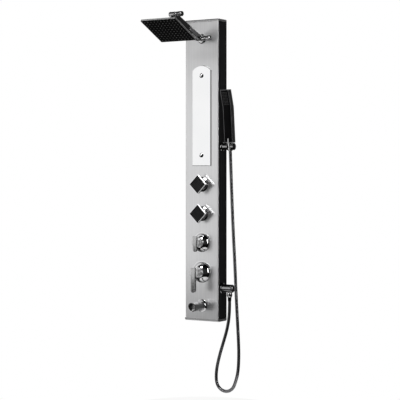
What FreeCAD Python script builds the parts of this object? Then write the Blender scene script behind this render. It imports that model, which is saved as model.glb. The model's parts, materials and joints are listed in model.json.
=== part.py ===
"""Wall-hung shower panel column: rain head on an adjustable arm, mirror, two body jets, diverter, mixer,
tub spout, and a handset on a metal hose. Millimetres. X runs across the panel, -Y points into the room,
+Z is up, and the origin lies on the wall midway between the upper bracket's two screw holes."""

import FreeCAD, Part
import math
import os
import Sketcher

DIMENSIONS = {
    # column
    "panel_height": 1500,
    "panel_depth": 76,
    "mount_height": 1300,
    "lower_mount_height": 480,
    "sheet_width": 194,
    "sheet_gauge": 1.5,
    "sheet_bend": 4,
    "sheet_return": 12,
    "rail_width": 197,
    "rail_wall": 3,
    "rail_lip": 18,
    "flute_width": 7,
    "flute_depth": 0.8,
    "cap_width": 202,
    "cap_height": 12,
    "cap_overhang": 3,
    "cap_bevel": 4,
    "cap_corner": 6,
    "wall_gap": 1,
    # wall brackets and the straps that hang on them
    "bracket_width": 150,
    "bracket_spacing": 120,
    "bracket_hole": 5.5,
    "bracket_gauge": 2,
    "strap_width": 188,
    "strap_height": 40,
    # mirror
    "mirror_width": 109,
    "mirror_bottom": 772,
    "mirror_spring": 1246,
    "mirror_top": 1271,
    "mirror_gauge": 4.5,
    "mirror_bevel": 2,
    "upper_screw_height": 1221,
    "lower_screw_height": 825,
    "screw_cap_radius": 11.5,
    # overhead arm
    "arm_height": 1404,
    "arm_standoff": 24,
    "arm_length": 256,
    "arm_section": 26,
    "arm_angle": 22,
    "arm_bore": 8,
    "eye_radius": 12,
    "eye_width": 18,
    "ear_radius": 12.5,
    "notch_depth": 17,
    "pivot_radius": 6,
    "running_gap": 0.05,
    "side_gap": 0.2,
    "lower_clamp_length": 58,
    "upper_clamp_length": 45,
    "arm_rosette_radius": 24,
    "stub_radius": 10,
    # rain head
    "head_size": 200,
    "head_angle": 25.5,
    "head_drop": 92,
    "ball_drop": 70,
    "head_ball_radius": 11,
    "head_skirt": 9,
    # body jets
    "upper_jet_height": 680,
    "lower_jet_height": 534,
    "jet_size": 68,
    "jet_body_depth": 13,
    "jet_standoff": 18,
    "jet_reach": 24,
    "jet_ball_radius": 9,
    "jet_rosette_radius": 37,
    # diverter and mixer
    "diverter_height": 391,
    "diverter_rosette_radius": 48,
    "diverter_dome": 24,
    "diverter_hub_radius": 22,
    "diverter_reach": 67,
    "diverter_plate_width": 24,
    "diverter_plate_length": 76,
    "diverter_plate_rise": 32,
    "mixer_height": 244,
    "mixer_rosette_radius": 53,
    "mixer_dome": 27,
    "mixer_hub_radius": 26,
    "mixer_reach": 83,
    "mixer_plate_width": 28,
    "mixer_plate_length": 122,
    "mixer_plate_rise": 24,
    "plate_gauge": 9,
    # tub spout
    "spout_height": 77,
    "spout_radius": 22,
    "spout_reach": 97,
    "spout_fall": 1,
    "spout_cut": 18,
    "spout_flange_radius": 31,
    # hose outlet on the right side
    "outlet_height": 165,
    "side_axis_depth": 41,
    "outlet_reach": 41.5,
    "outlet_radius": 20,
    "outlet_rosette_radius": 27,
    "hose_radius": 8,
    "hose_bore": 6,
    # handset holder and handset
    "holder_height": 867,
    "holder_reach": 44.5,
    "holder_radius": 17.5,
    "holder_angle": 5,
    "cone_top_radius": 13.5,
    "cone_bottom_radius": 11.5,
    "cone_length": 38,
    "cone_gap": 0.3,
    "handset_width": 50,
    "handset_thickness": 28,
    "handle_length": 176,
    "handset_head_length": 90,
    "handset_head_angle": 12.5,
    # inlets
    "inlet_height": 330,
    "inlet_spacing": 100,
    "inlet_thread": 18.6,
}


class Size:
    """A dimension, with the sheet formula that it comes from."""

    def __init__(self, value, formula=None):
        self.value = float(value)
        self.formula = formula or f"({self.value:.6g})"

    def __add__(self, other):
        other = sized(other)
        return Size(self.value + other.value, f"({self.formula} + {other.formula})")

    def __sub__(self, other):
        other = sized(other)
        return Size(self.value - other.value, f"({self.formula} - {other.formula})")

    def __mul__(self, other):
        other = sized(other)
        return Size(self.value * other.value, f"({self.formula} * {other.formula})")

    def __truediv__(self, other):
        other = sized(other)
        return Size(self.value / other.value, f"({self.formula} / {other.formula})")

    def __radd__(self, other):
        return sized(other) + self

    def __rsub__(self, other):
        return sized(other) - self

    def __rmul__(self, other):
        return sized(other) * self

    def __neg__(self):
        return Size(-self.value, f"(0 - {self.formula})")


def sized(number):
    return number if isinstance(number, Size) else Size(number)


def sine(angle):
    return Size(math.sin(math.radians(angle.value)), f"sin({angle.formula})")


def cosine(angle):
    return Size(math.cos(math.radians(angle.value)), f"cos({angle.formula})")


def leg(long_side, short_side):
    """The other leg of a right triangle, such as a sphere's radius at a height."""
    long_side, short_side = sized(long_side), sized(short_side)
    value = math.sqrt(long_side.value**2 - short_side.value**2)
    return Size(value, f"sqrt(({long_side.formula})^2 - ({short_side.formula})^2)")


def dome_radius(base, rise):
    """The radius of a spherical cap with a given base radius and rise."""
    base, rise = sized(base), sized(rise)
    return (base * base + rise * rise) / (rise * 2)


class Dimensions:
    """The driving dimensions: each is a cell of the sheet and a Size of the same name."""

    def __init__(self, document, values):
        sheet = document.addObject("Spreadsheet::Sheet", "Sizes")
        for row, (name, value) in enumerate(values.items(), start=1):
            sheet.set(f"A{row}", name)
            sheet.set(f"B{row}", str(value))
            sheet.setAlias(f"B{row}", name)
            setattr(self, name, Size(value, f"Sizes.{name}"))


doc = FreeCAD.newDocument("shower_panel")
D = Dimensions(doc, DIMENSIONS)
doc.recompute()
PARTS = {}

X_AXIS = FreeCAD.Vector(1, 0, 0)
Y_AXIS = FreeCAD.Vector(0, 1, 0)
Z_AXIS = FreeCAD.Vector(0, 0, 1)
UPRIGHT = FreeCAD.Rotation()
OUT_OF_WALL = FreeCAD.Rotation(X_AXIS, 90)
OUT_TO_RIGHT = FreeCAD.Rotation(Y_AXIS, 90)
FRONT = -D.panel_depth
RIGHT = D.rail_width / 2
SIDE_Y = -D.side_axis_depth


def level(height):
    """Turns a height above the panel's foot into Z."""
    return height - D.mount_height


def bind(thing, name, number):
    thing.setExpression(name, sized(number).formula)


def moved(thing, x=0, y=0, z=0, turn=UPRIGHT):
    """Puts a feature at a place, with a rotation."""
    x, y, z = sized(x), sized(y), sized(z)
    thing.Placement = FreeCAD.Placement(FreeCAD.Vector(x.value, y.value, z.value), turn)
    bind(thing, "Placement.Base.x", x)
    bind(thing, "Placement.Base.y", y)
    bind(thing, "Placement.Base.z", z)
    return thing


def keep(thing, label, x=0, y=0, z=0, turn=UPRIGHT):
    """Places a finished sub-part and keeps it for export under its label."""
    moved(thing, x, y, z, turn)
    thing.Label = label
    PARTS[label] = thing
    return thing


def on_front(thing, label, height, ahead=0):
    """Keeps a sub-part whose local z points out of the panel's front at a height above the foot."""
    return keep(thing, label, 0, FRONT - ahead, level(height), OUT_OF_WALL)


def on_right(thing, label, height):
    """Keeps a sub-part whose local z points out of the panel's right side."""
    return keep(thing, label, RIGHT, SIDE_Y, level(height), OUT_TO_RIGHT)


# ---- sketches and solids


def new_sketch(body, plane, lift=0):
    """A sketch on one of a body's own origin planes, lifted along the plane's normal."""
    sketch = body.newObject("Sketcher::SketchObject", "Outline")
    support = [f for f in body.Origin.OriginFeatures if f.Role == plane][0]
    sketch.AttachmentSupport = [(support, "")]
    sketch.MapMode = "FlatFace"
    bind(sketch, "AttachmentOffset.Base.z", lift)
    return sketch


def pin_point(sketch, edge, end, u, v):
    """Fixes one end of an edge at a place in the sketch."""
    for kind, number in (("DistanceX", u), ("DistanceY", v)):
        row = sketch.addConstraint(Sketcher.Constraint(kind, -1, 1, edge, end, number.value))
        bind(sketch, f"Constraints[{row}]", number)


def arc_between(start, finish, radius, bulge):
    """The shorter arc from start to finish; bulge +1 swells to the right of the way along it."""
    chord = finish - start
    height = math.sqrt(max(radius**2 - (chord.Length / 2) ** 2, 0))
    left = FreeCAD.Vector(-chord.y, chord.x, 0).normalize()
    centre = (start + finish) * 0.5 + left * (height * bulge)
    first, last = (start, finish) if bulge > 0 else (finish, start)
    angles = [math.atan2(p.y - centre.y, p.x - centre.x) for p in (first, last)]
    return Part.ArcOfCircle(Part.Circle(centre, Z_AXIS, radius), *angles)


def draw_outline(sketch, corners, arcs=None):
    """A closed outline through corners (u, v); arcs gives (radius, bulge) for sides that are round."""
    arcs = arcs or {}
    corners = [(sized(u), sized(v)) for u, v in corners]
    points = [FreeCAD.Vector(u.value, v.value, 0) for u, v in corners]
    edges = []
    for side, start in enumerate(points):
        finish = points[(side + 1) % len(points)]
        if side in arcs:
            radius, bulge = sized(arcs[side][0]), arcs[side][1]
            edge = sketch.addGeometry(arc_between(start, finish, radius.value, bulge))
            edges.append((edge, 1, 2) if bulge > 0 else (edge, 2, 1))
        else:
            edge = sketch.addGeometry(Part.LineSegment(start, finish))
            edges.append((edge, 1, 2))
    for side, (edge, start_end, finish_end) in enumerate(edges):
        following = edges[(side + 1) % len(edges)]
        sketch.addConstraint(Sketcher.Constraint("Coincident", edge, finish_end, following[0], following[1]))
    for (edge, start_end, finish_end), (u, v) in zip(edges, corners):
        pin_point(sketch, edge, start_end, u, v)
    for side, (radius, bulge) in arcs.items():
        edge = edges[side][0]
        (u, v), (end_u, end_v) = corners[side], corners[(side + 1) % len(corners)]
        chord = math.hypot(end_u.value - u.value, end_v.value - v.value)
        if chord < 1.999 * sized(radius).value:
            row = sketch.addConstraint(Sketcher.Constraint("Radius", edge, sized(radius).value))
            bind(sketch, f"Constraints[{row}]", radius)
        elif abs(end_u.value - u.value) < 1e-6:  # a half turn: its ends fix the radius, so the centre is placed
            row = sketch.addConstraint(Sketcher.Constraint("DistanceX", -1, 1, edge, 3, u.value))
            bind(sketch, f"Constraints[{row}]", u)
        else:
            row = sketch.addConstraint(Sketcher.Constraint("DistanceY", -1, 1, edge, 3, v.value))
            bind(sketch, f"Constraints[{row}]", v)


def turned(name, corners, arcs=None):
    """A body revolved about local z from an outline of (radius, z) corners."""
    body = doc.addObject("PartDesign::Body", name)
    sketch = new_sketch(body, "XZ_Plane")
    draw_outline(sketch, corners, arcs)
    turn = body.newObject("PartDesign::Revolution", "Turn")
    turn.Profile = sketch
    turn.ReferenceAxis = (sketch, ["V_Axis"])
    turn.Angle = 360
    return body


def padded(name, plane, corners, length, arcs=None, middle=False, lift=0):
    """A body padded from an outline on one of its origin planes."""
    body = doc.addObject("PartDesign::Body", name)
    sketch = new_sketch(body, plane, lift)
    draw_outline(sketch, corners, arcs)
    pad = body.newObject("PartDesign::Pad", "Pad")
    pad.Profile = sketch
    bind(pad, "Length", length)
    if middle:
        pad.SideType = "Symmetric"
    return body


def rounded_box(width, depth, radius):
    """Corners and arcs of a rectangle about the origin with round corners."""
    x, y, r = width / 2, depth / 2, sized(radius)
    corners = [(r - x, -y), (x - r, -y), (x, r - y), (x, y - r), (x - r, y), (r - x, y), (-x, y - r), (-x, r - y)]
    return corners, {1: (r, 1), 3: (r, 1), 5: (r, 1), 7: (r, 1)}


def softened(body, kind, size, wanted):
    """Adds a Fillet or Chamfer to the edges of a body's tip that wanted(edge) picks."""
    doc.recompute()
    tip = body.Tip
    picked = [f"Edge{n}" for n, edge in enumerate(tip.Shape.Edges, start=1) if wanted(edge)]
    feature = body.newObject(f"PartDesign::{kind}", kind)
    feature.Base = (tip, picked)
    bind(feature, "Radius" if kind == "Fillet" else "Size", size)
    return body


def rod(radius, length, x=0, y=0, z=0, turn=UPRIGHT):
    """A round bar that starts at a place and runs along local z."""
    bar = doc.addObject("Part::Cylinder", "Rod")
    bind(bar, "Radius", radius)
    bind(bar, "Height", length)
    return moved(bar, x, y, z, turn)


def block(width, depth, height, x=0, y=0, z=0):
    """A box whose lowest corner is at a place."""
    box = doc.addObject("Part::Box", "Block")
    bind(box, "Length", width)
    bind(box, "Width", depth)
    bind(box, "Height", height)
    return moved(box, x, y, z)


def ball(radius, x=0, y=0, z=0):
    sphere = doc.addObject("Part::Sphere", "Ball")
    bind(sphere, "Radius", radius)
    return moved(sphere, x, y, z)


def joined(*things):
    fuse = doc.addObject("Part::MultiFuse", "Joined")
    fuse.Shapes = list(things)
    fuse.Refine = True
    return fuse


def group(things):
    compound = doc.addObject("Part::Compound", "Group")
    compound.Links = list(things)
    return compound


def cut(thing, *tools):
    result = doc.addObject("Part::Cut", "Cut")
    result.Base = thing
    result.Tool = tools[0] if len(tools) == 1 else joined(*tools)
    result.Refine = True
    return result


def tube_path(points):
    """Straight runs joined by tangent arcs, each as large as its two runs allow."""
    edges, radii = [], []
    start = points[0]
    for before, corner, after in zip(points, points[1:], points[2:]):
        into, out = (corner - before), (after - corner)
        turn = into.getAngle(out)
        back = 0.45 * min(into.Length, out.Length)
        radii.append(back / math.tan(turn / 2))
        into.normalize()
        out.normalize()
        first, last = corner - into * back, corner + out * back
        inward = (out - into).normalize()
        bow = radii[-1] / math.cos(turn / 2) - radii[-1]
        edges.append(Part.LineSegment(start, first).toShape())
        edges.append(Part.Arc(first, corner + inward * bow, last).toShape())
        start = last
    edges.append(Part.LineSegment(start, points[-1]).toShape())
    return Part.Wire(edges), radii


def tube(name, points, radius, bore):
    """A bent tube along points (x, y, z), with its bore."""
    points = [FreeCAD.Vector(*(sized(n).value for n in point)) for point in points]
    path, radii = tube_path(points)
    way = points[1] - points[0]
    solids = []
    for size in (radius.value, bore.value):
        ring = Part.Wire([Part.makeCircle(size, points[0], way)])
        solids.append(path.makePipeShell([ring], True, False))
    feature = doc.addObject("Part::Feature", name)
    feature.Shape = solids[0].cut(solids[1])
    expected = math.pi * (radius.value**2 - bore.value**2) * path.Length
    print(
        f"{name}: length {path.Length:.0f} mm, least radius {min(radii):.1f} mm,",
        f"volume over section times length {feature.Shape.Volume / expected:.4f}",
    )
    return feature


def keep_tube(name, points, radius, bore):
    """Keeps a tube that is drawn where it lies."""
    thing = tube(name, points, sized(radius), sized(bore))
    thing.Label = name
    PARTS[name] = thing
    return thing


# ---- column


def front_panel():
    """Brushed sheet with its long edges folded back, pierced for the fittings."""
    half = D.sheet_width / 2
    bend = D.sheet_bend
    inner = half - D.sheet_gauge
    face = FRONT
    back = face + D.sheet_gauge
    rear = face + D.sheet_return
    corners = [
        (-half, rear),
        (-half, face + bend),
        (bend - half, face),
        (half - bend, face),
        (half, face + bend),
        (half, rear),
        (inner, rear),
        (inner, face + bend),
        (half - bend, back),
        (bend - half, back),
        (-inner, face + bend),
        (-inner, rear),
    ]
    tight = bend - D.sheet_gauge
    arcs = {1: (bend, 1), 3: (bend, 1), 7: (tight, -1), 9: (tight, -1)}
    sheet = padded("Sheet", "XY_Plane", corners, D.panel_height - 2 * D.cap_height, arcs, lift=D.cap_height)
    holes = [
        (D.arm_height, 10.5),
        (D.upper_screw_height, 3),
        (D.lower_screw_height, 3),
        (D.upper_jet_height, 8),
        (D.lower_jet_height, 8),
        (D.diverter_height, 16.5),
        (D.mixer_height, 18.5),
        (D.spout_height, 12),
    ]
    drills = [rod(r, 20, 0, FRONT + 10, height, OUT_OF_WALL) for height, r in holes]
    keep(cut(sheet, *drills), "front_panel", z=level(0))


def side_rail(label, side):
    """Black fluted profile that carries one folded edge of the sheet; side is -1 or 1."""
    outer = D.rail_width / 2
    seat = D.sheet_width / 2
    inner = outer - D.rail_wall
    shelf = inner - 4
    front = FRONT + 5
    sheet_end = FRONT + D.sheet_return
    rear = -D.wall_gap
    profile = [(outer, front)]
    for groove in (12, 29, 46):
        start = front + groove
        floor = outer - D.flute_depth
        profile += [(outer, start), (floor, start + 1), (floor, start + D.flute_width), (outer, start + 1 + D.flute_width)]
    profile += [
        (outer, rear),
        (outer - D.rail_lip, rear),
        (outer - D.rail_lip, rear - D.rail_wall),
        (inner, rear - D.rail_wall),
        (inner, sheet_end + 3),
        (shelf, sheet_end + 3),
        (shelf, sheet_end),
        (seat, sheet_end),
        (seat, front),
    ]
    corners = [(side * x, y) for x, y in profile]
    rail = padded("Rail", "XY_Plane", corners, D.panel_height - 2 * D.cap_height, lift=D.cap_height)
    drills = []
    for mount in (D.mount_height, D.lower_mount_height):
        for lift in (26, 46):
            drills.append(rod(2, 10, side * (outer - 12), 2, mount + lift, OUT_OF_WALL))
    if side > 0:
        for height, radius in ((D.outlet_height, 9), (D.holder_height, 4)):
            drills.append(rod(radius, 12, RIGHT - 10, SIDE_Y, height, OUT_TO_RIGHT))
    keep(cut(rail, *drills), label, z=level(0))


def end_cap(label, z, turn):
    """Moulded cap with bevelled outer edges, on a ring that plugs into the column."""
    depth = D.panel_depth + D.cap_overhang
    corners, arcs = rounded_box(D.cap_width, depth, D.cap_corner)
    middle = depth / 2
    corners = [(x, y - middle) for x, y in corners]
    cap = padded("Cap", "XY_Plane", corners, D.cap_height, arcs)

    def outer_rim(edge):
        box = edge.BoundBox
        return box.ZMin > D.cap_height.value - 0.01 and box.YMin < -0.01

    softened(cap, "Chamfer", D.cap_bevel, outer_rim)
    plug_width, plug_depth = D.sheet_width - 12, D.panel_depth - 8
    plug = block(plug_width, plug_depth, 8, plug_width / -2, FRONT + 2, -8)
    hollow = block(plug_width - 6, plug_depth - 6, 8, plug_width / -2 + 3, FRONT + 5, -8)
    keep(joined(cap, cut(plug, hollow)), label, z=z, turn=turn)


def back_straps():
    """Two steel straps across the rails; each hangs in a wall bracket's channel."""
    rear = -D.wall_gap - D.rail_wall
    gauge = D.bracket_gauge
    foot = 16
    top = foot + D.strap_height
    corners = [
        (rear, foot),
        (rear, top),
        (rear - 10, top),
        (rear - 10, top - gauge),
        (rear - gauge, top - gauge),
        (rear - gauge, foot),
    ]
    straps = []
    for mount in (D.mount_height, D.lower_mount_height):
        strap = padded("Strap", "YZ_Plane", corners, D.strap_width, middle=True)
        drills = [
            rod(2, 10, side * (D.rail_width / 2 - 12), 2, lift, OUT_OF_WALL) for side in (-1, 1) for lift in (26, 46)
        ]
        straps.append(moved(cut(strap, *drills), z=level(mount)))
    keep(group(straps), "back_straps")


def strap_rivets():
    """Rivets that hold the straps to the rails' rear lips, flush within the gap at the wall."""
    grip = D.wall_gap + D.rail_wall + D.bracket_gauge
    corners = [(0, 0.2), (3, 0.2), (3.6, 1), (2, 1), (2, grip), (3.8, grip), (3, grip + 1.3), (0, grip + 1.3)]
    rivets = []
    for mount in (D.mount_height, D.lower_mount_height):
        for side in (-1, 1):
            for lift in (26, 46):
                x = side * (D.rail_width / 2 - 12)
                rivets.append(moved(turned("Rivet", corners), x, 0, level(mount + lift), OUT_OF_WALL))
    keep(group(rivets), "strap_rivets")


def wall_brackets():
    """Two folded steel brackets, screwed to the wall, with an upturned lip that takes the strap."""
    gauge = D.bracket_gauge
    channel = 6.1
    corners = [
        (0, -28),
        (0, 16),
        (-channel, 16),
        (-channel, 34),
        (-channel - gauge, 34),
        (-channel - gauge, 16 - gauge),
        (-gauge, 16 - gauge),
        (-gauge, -28),
    ]
    brackets = []
    for mount in (D.mount_height, D.lower_mount_height):
        plate = padded("Bracket", "YZ_Plane", corners, D.bracket_width, middle=True)
        holes = [
            rod(D.bracket_hole / 2, 20, side * D.bracket_spacing / 2, 10, 0, OUT_OF_WALL) for side in (-1, 1)
        ]
        brackets.append(moved(cut(plate, *holes), z=level(mount)))
    keep(group(brackets), "wall_brackets")


# ---- mirror


def mirror_plate():
    """Arched mirror plate with a bevelled edge."""
    half = D.mirror_width / 2
    rise = D.mirror_top - D.mirror_spring
    arch = (half * half + rise * rise) / (2 * rise)
    corners = [
        (-half, D.mirror_bottom),
        (half, D.mirror_bottom),
        (half, D.mirror_spring),
        (0, D.mirror_top),
        (-half, D.mirror_spring),
    ]
    plate = padded("Mirror", "XY_Plane", corners, D.mirror_gauge, {2: (arch, 1), 3: (arch, 1)})
    softened(plate, "Chamfer", D.mirror_bevel, lambda edge: edge.BoundBox.ZMin > D.mirror_gauge.value - 0.01)
    drills = [rod(3, 10, 0, height, -2) for height in (D.upper_screw_height, D.lower_screw_height)]
    on_front(cut(plate, *drills), "mirror_plate", 0)


def mirror_screws():
    """Domed screw caps with their screws and the nuts behind the sheet."""
    cap = D.screw_cap_radius
    face = D.mirror_gauge
    back = -D.sheet_gauge
    corners = [
        (0, back - 6),
        (3, back - 6),
        (3, back - 4),
        (5.5, back - 4),
        (5.5, back),
        (3, back),
        (3, face),
        (cap, face),
        (cap, face + 1.5),
        (0, face + 6),
    ]
    screws = []
    for height in (D.upper_screw_height, D.lower_screw_height):
        screw = turned("MirrorScrew", corners, {8: (dome_radius(cap, 4.5), 1)})
        screws.append(moved(screw, 0, FRONT, level(height), OUT_OF_WALL))
    keep(group(screws), "mirror_screws")


# ---- overhead arm

ACROSS = OUT_TO_RIGHT
ARM_TURN = FreeCAD.Rotation(X_AXIS, -D.arm_angle.value).multiply(FreeCAD.Rotation(Z_AXIS, -90))
HEAD_TURN = FreeCAD.Rotation(X_AXIS, -D.head_angle.value)
LOWER_AXIS = (sized(0), FRONT - D.arm_standoff, level(D.arm_height))
UPPER_AXIS = (
    sized(0),
    LOWER_AXIS[1] - D.arm_length * cosine(D.arm_angle),
    LOWER_AXIS[2] + D.arm_length * sine(D.arm_angle),
)
HEAD_BALL = (
    sized(0),
    UPPER_AXIS[1] - D.ball_drop * sine(D.head_angle),
    UPPER_AXIS[2] - D.ball_drop * cosine(D.head_angle),
)


def arm_base():
    """Threaded stub through the sheet, with the eye that the arm's lower fork straddles."""
    shoulder = D.arm_standoff - D.ear_radius - 0.5
    stub = rod(D.stub_radius, 20 + shoulder, 0, 0, -20)
    neck = rod(D.eye_width / 2 - 0.1, D.arm_standoff, 0, 0, 0)
    eye = rod(D.eye_radius, D.eye_width, D.eye_width / -2, 0, D.arm_standoff, ACROSS)
    pivot = rod(D.pivot_radius, D.eye_width + 4, D.eye_width / -2 - 2, 0, D.arm_standoff, ACROSS)
    water = rod(5, 40, 0, 0, -20)
    on_front(cut(joined(stub, neck, eye), pivot, water), "arm_base", D.arm_height)


def arm_rosette():
    outer = D.arm_rosette_radius
    corners = [(D.stub_radius, 0), (outer, 0), (outer, 2), (14, 7), (D.stub_radius, 7)]
    on_front(turned("Rosette", corners, {2: (14, 1)}), "arm_rosette", D.arm_height)


def arm_base_nut():
    """Hexagon nut that clamps the stub from behind the sheet."""
    across = sized(17)
    corners = [
        (across * cosine(sized(60 * n)), across * sine(sized(60 * n))) for n in range(6)
    ]
    nut = padded("Nut", "XY_Plane", corners, 8, lift=-D.sheet_gauge - 8)
    on_front(cut(nut, rod(D.stub_radius, 20, 0, 0, -15)), "arm_base_nut", D.arm_height)


def pivot_bolt(label, place, length):
    """Domed bolt along X that clamps a knuckle; its threaded end takes the knob."""
    seat = D.arm_section / -2 - D.side_gap
    head = D.ear_radius - 1
    corners = [
        (0, seat - 6),
        (head - 2, seat - 5),
        (head, seat - 3),
        (head, seat),
        (D.pivot_radius, seat),
        (D.pivot_radius, D.arm_section / 2 + length - 8),
        (0, D.arm_section / 2 + length - 8),
    ]
    keep(turned("Bolt", corners), label, *place, turn=ACROSS)


def clamp_knob(label, place, length):
    """Long barrel nut with a fluted grip on its outer end."""
    start = D.arm_section / 2 + D.side_gap
    finish = D.arm_section / 2 + length
    bore = D.pivot_radius + D.running_gap
    depth = finish - 7
    corners = [
        (bore, start),
        (10.5, start),
        (11.5, start + 1),
        (11.5, finish - 32),
        (10, finish - 30),
        (10, finish - 28),
        (12.5, finish - 26),
        (12.5, finish - 4),
        (9, finish),
        (0, finish),
        (0, depth),
        (bore, depth),
    ]
    barrel = turned("Knob", corners, {7: (6, 1)})
    flutes = []
    for n in range(10):
        angle = 36 * n
        reach = 13.4
        x, y = reach * math.cos(math.radians(angle)), reach * math.sin(math.radians(angle))
        flutes.append(rod(1.8, 40, x, y, finish - 27))
    keep(cut(barrel, *flutes), label, *place, turn=ACROSS)


def shower_arm():
    """Square bar with a fork at each end and a water way through it."""
    half = D.arm_section / 2
    ear = D.ear_radius
    length = D.arm_length
    bar = doc.addObject("PartDesign::Body", "Arm")
    sketch = new_sketch(bar, "XZ_Plane")
    corners = [(0, -ear), (length, -ear), (length, ear), (0, ear)]
    draw_outline(sketch, corners, {1: (ear, 1), 3: (ear, 1)})
    pad = bar.newObject("PartDesign::Pad", "Pad")
    pad.Profile = sketch
    pad.SideType = "Symmetric"
    bind(pad, "Length", D.arm_section)

    def long_edge(edge):
        box = edge.BoundBox
        return abs(abs(box.YMin) - half.value) < 0.01 and box.YLength < 0.01

    softened(bar, "Fillet", 1.5, long_edge)
    gap = D.eye_width + 2 * D.side_gap
    fork = block(2 * D.notch_depth + 40, gap, 40, -D.notch_depth - 40, gap / -2, -20)
    far_fork = block(2 * D.notch_depth + 40, gap, 40, length - D.notch_depth, gap / -2, -20)
    bore = D.pivot_radius + D.running_gap
    pins = [rod(bore, 40, x, 20, 0, OUT_OF_WALL) for x in (0, length)]
    water = rod(D.arm_bore, length, 0, 0, 0, OUT_TO_RIGHT)
    keep(cut(bar, fork, far_fork, water, *pins), "shower_arm", *LOWER_AXIS, turn=ARM_TURN)


def head_elbow():
    """Upper eye with the neck and ball that carry the rain head."""
    drop = D.ball_drop
    eye = rod(D.eye_radius, D.eye_width, D.eye_width / -2, 0, drop, ACROSS)
    neck = turned("Neck", [(0, 0), (8, 0), (8, drop), (0, drop)])
    knob = ball(D.head_ball_radius)
    pivot = rod(D.pivot_radius, D.eye_width + 4, D.eye_width / -2 - 2, 0, drop, ACROSS)
    water = rod(4, drop + 12, 0, 0, -12)
    keep(cut(joined(eye, neck, knob), pivot, water), "head_elbow", *HEAD_BALL, turn=HEAD_TURN)


# ---- rain head


def head_seal_ring():
    """Spherical seat ring between the ball and the head's socket."""
    inner = D.head_ball_radius + 0.06
    outer = inner + 1.4
    low, high = -9, -3
    corners = [(leg(inner, low), low), (leg(outer, low), low), (leg(outer, high), high), (leg(inner, high), high)]
    ring = turned("SealRing", corners, {1: (outer, 1), 3: (inner, -1)})
    keep(ring, "head_seal_ring", *HEAD_BALL, turn=HEAD_TURN)


def head_collar_nut():
    """Nut that holds the ball in the socket."""
    seat = D.head_ball_radius + 0.06
    corners = [
        (16.5, -8),
        (19, -8),
        (19, 2),
        (16, 5),
        (leg(seat, 5), 5),
        (leg(seat, 0.5), -0.5),
        (16.5, -0.5),
    ]
    keep(turned("Collar", corners, {4: (seat, -1)}), "head_collar_nut", *HEAD_BALL, turn=HEAD_TURN)


def rain_head_shell():
    """Square tray with a low pyramid back and the socket boss."""
    face = D.ball_drop - D.head_drop
    size = D.head_size
    roof = face + 1 + D.head_skirt
    corners, arcs = rounded_box(size, size, 4)
    slab = padded("Tray", "XY_Plane", corners, D.head_skirt, arcs, lift=face + 1)
    softened(slab, "Fillet", 1.5, lambda edge: edge.BoundBox.ZMin > roof.value - 0.01)
    pyramid = doc.addObject("PartDesign::Body", "Pyramid")
    wide = new_sketch(pyramid, "XY_Plane", roof)
    draw_outline(wide, *rounded_box(size - 60, size - 60, 10))
    narrow = new_sketch(pyramid, "XY_Plane", roof + 4)
    draw_outline(narrow, *rounded_box(sized(44), sized(44), 10))
    loft = pyramid.newObject("PartDesign::AdditiveLoft", "Loft")
    loft.Profile = wide
    loft.Sections = [narrow]
    loft.Ruled = True
    boss = rod(16.5, 13, 0, 0, -13.5)
    chamber = block(size - 4, size - 4, D.head_skirt - 2, size / -2 + 2, size / -2 + 2, face + 1)
    socket = ball(D.head_ball_radius + 1.52)
    mouth = rod(12.5, 10, 0, 0, -0.6)
    water = rod(5, 20, 0, 0, -20)
    shell = cut(joined(slab, pyramid, boss), chamber, socket, mouth, water)
    keep(shell, "rain_head_shell", *HEAD_BALL, turn=HEAD_TURN)


def rain_head_face():
    """Black nozzle plate set into the tray."""
    face = D.ball_drop - D.head_drop
    size = D.head_size - 4
    corners, arcs = rounded_box(size, size, 2)
    plate = padded("Face", "XY_Plane", corners, 5, arcs, lift=face)
    softened(plate, "Chamfer", 0.8, lambda edge: edge.BoundBox.ZMax < face.value + 0.01)
    keep(plate, "rain_head_face", *HEAD_BALL, turn=HEAD_TURN)


# ---- body jets


def jet_rosette(label, height):
    outer = D.jet_rosette_radius
    corners = [(8, 0), (outer, 0), (outer, 1.5), (18, 7), (8, 7)]
    on_front(turned("JetRosette", corners, {2: (48, 1)}), label, height)


def jet_stem(label, height):
    """Threaded stem with the ball in front and the tee for the supply tube behind."""
    out = D.jet_standoff
    stem = turned("Stem", [(0, -30), (8, -30), (8, 8), (6, 10), (6, out), (0, out)])
    knob = ball(D.jet_ball_radius, 0, 0, out)
    tee = rod(6.5, 24, 0, 12, -28, OUT_OF_WALL)
    supply = rod(3.5, 26, 0, 13, -28, OUT_OF_WALL)
    water = rod(3, out + 40, 0, 0, -28)
    on_front(cut(joined(stem, knob, tee), supply, water), label, height)


def jet_ring(label, height):
    """Seat ring that lets the jet swivel on its ball."""
    inner = D.jet_ball_radius + 0.06
    outer = inner + 1.34
    low, high = -2.5, 3.5
    corners = [(leg(inner, low), low), (leg(outer, low), low), (leg(outer, high), high), (leg(inner, high), high)]
    ring = turned("JetRing", corners, {1: (outer, 1), 3: (inner, -1)})
    on_front(ring, label, height, D.jet_standoff)


def jet_body(label, height):
    """Square cup set on its corner, with the socket boss behind."""
    front = D.jet_reach
    back = front - D.jet_body_depth
    size = D.jet_size
    corners, arcs = rounded_box(size, size, 3)
    cup = padded("Cup", "XY_Plane", corners, D.jet_body_depth, arcs, lift=back)
    softened(cup, "Fillet", 2, lambda edge: edge.BoundBox.ZMax < back.value + 0.01)
    boss = turned("Boss", [(0, -4), (12.5, -4), (14, -2), (17, back), (17, back + 2), (0, back + 2)])
    recess = block(size - 4, size - 4, 10, size / -2 + 2, size / -2 + 2, front - 6)
    socket = ball(D.jet_ball_radius + 1.46)
    cup = cut(joined(cup, boss), recess, socket, rod(4, 20, 0, 0, 0))
    spun = OUT_OF_WALL.multiply(FreeCAD.Rotation(Z_AXIS, 45))
    keep(cup, label, 0, FRONT - D.jet_standoff, level(height), spun)


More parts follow.
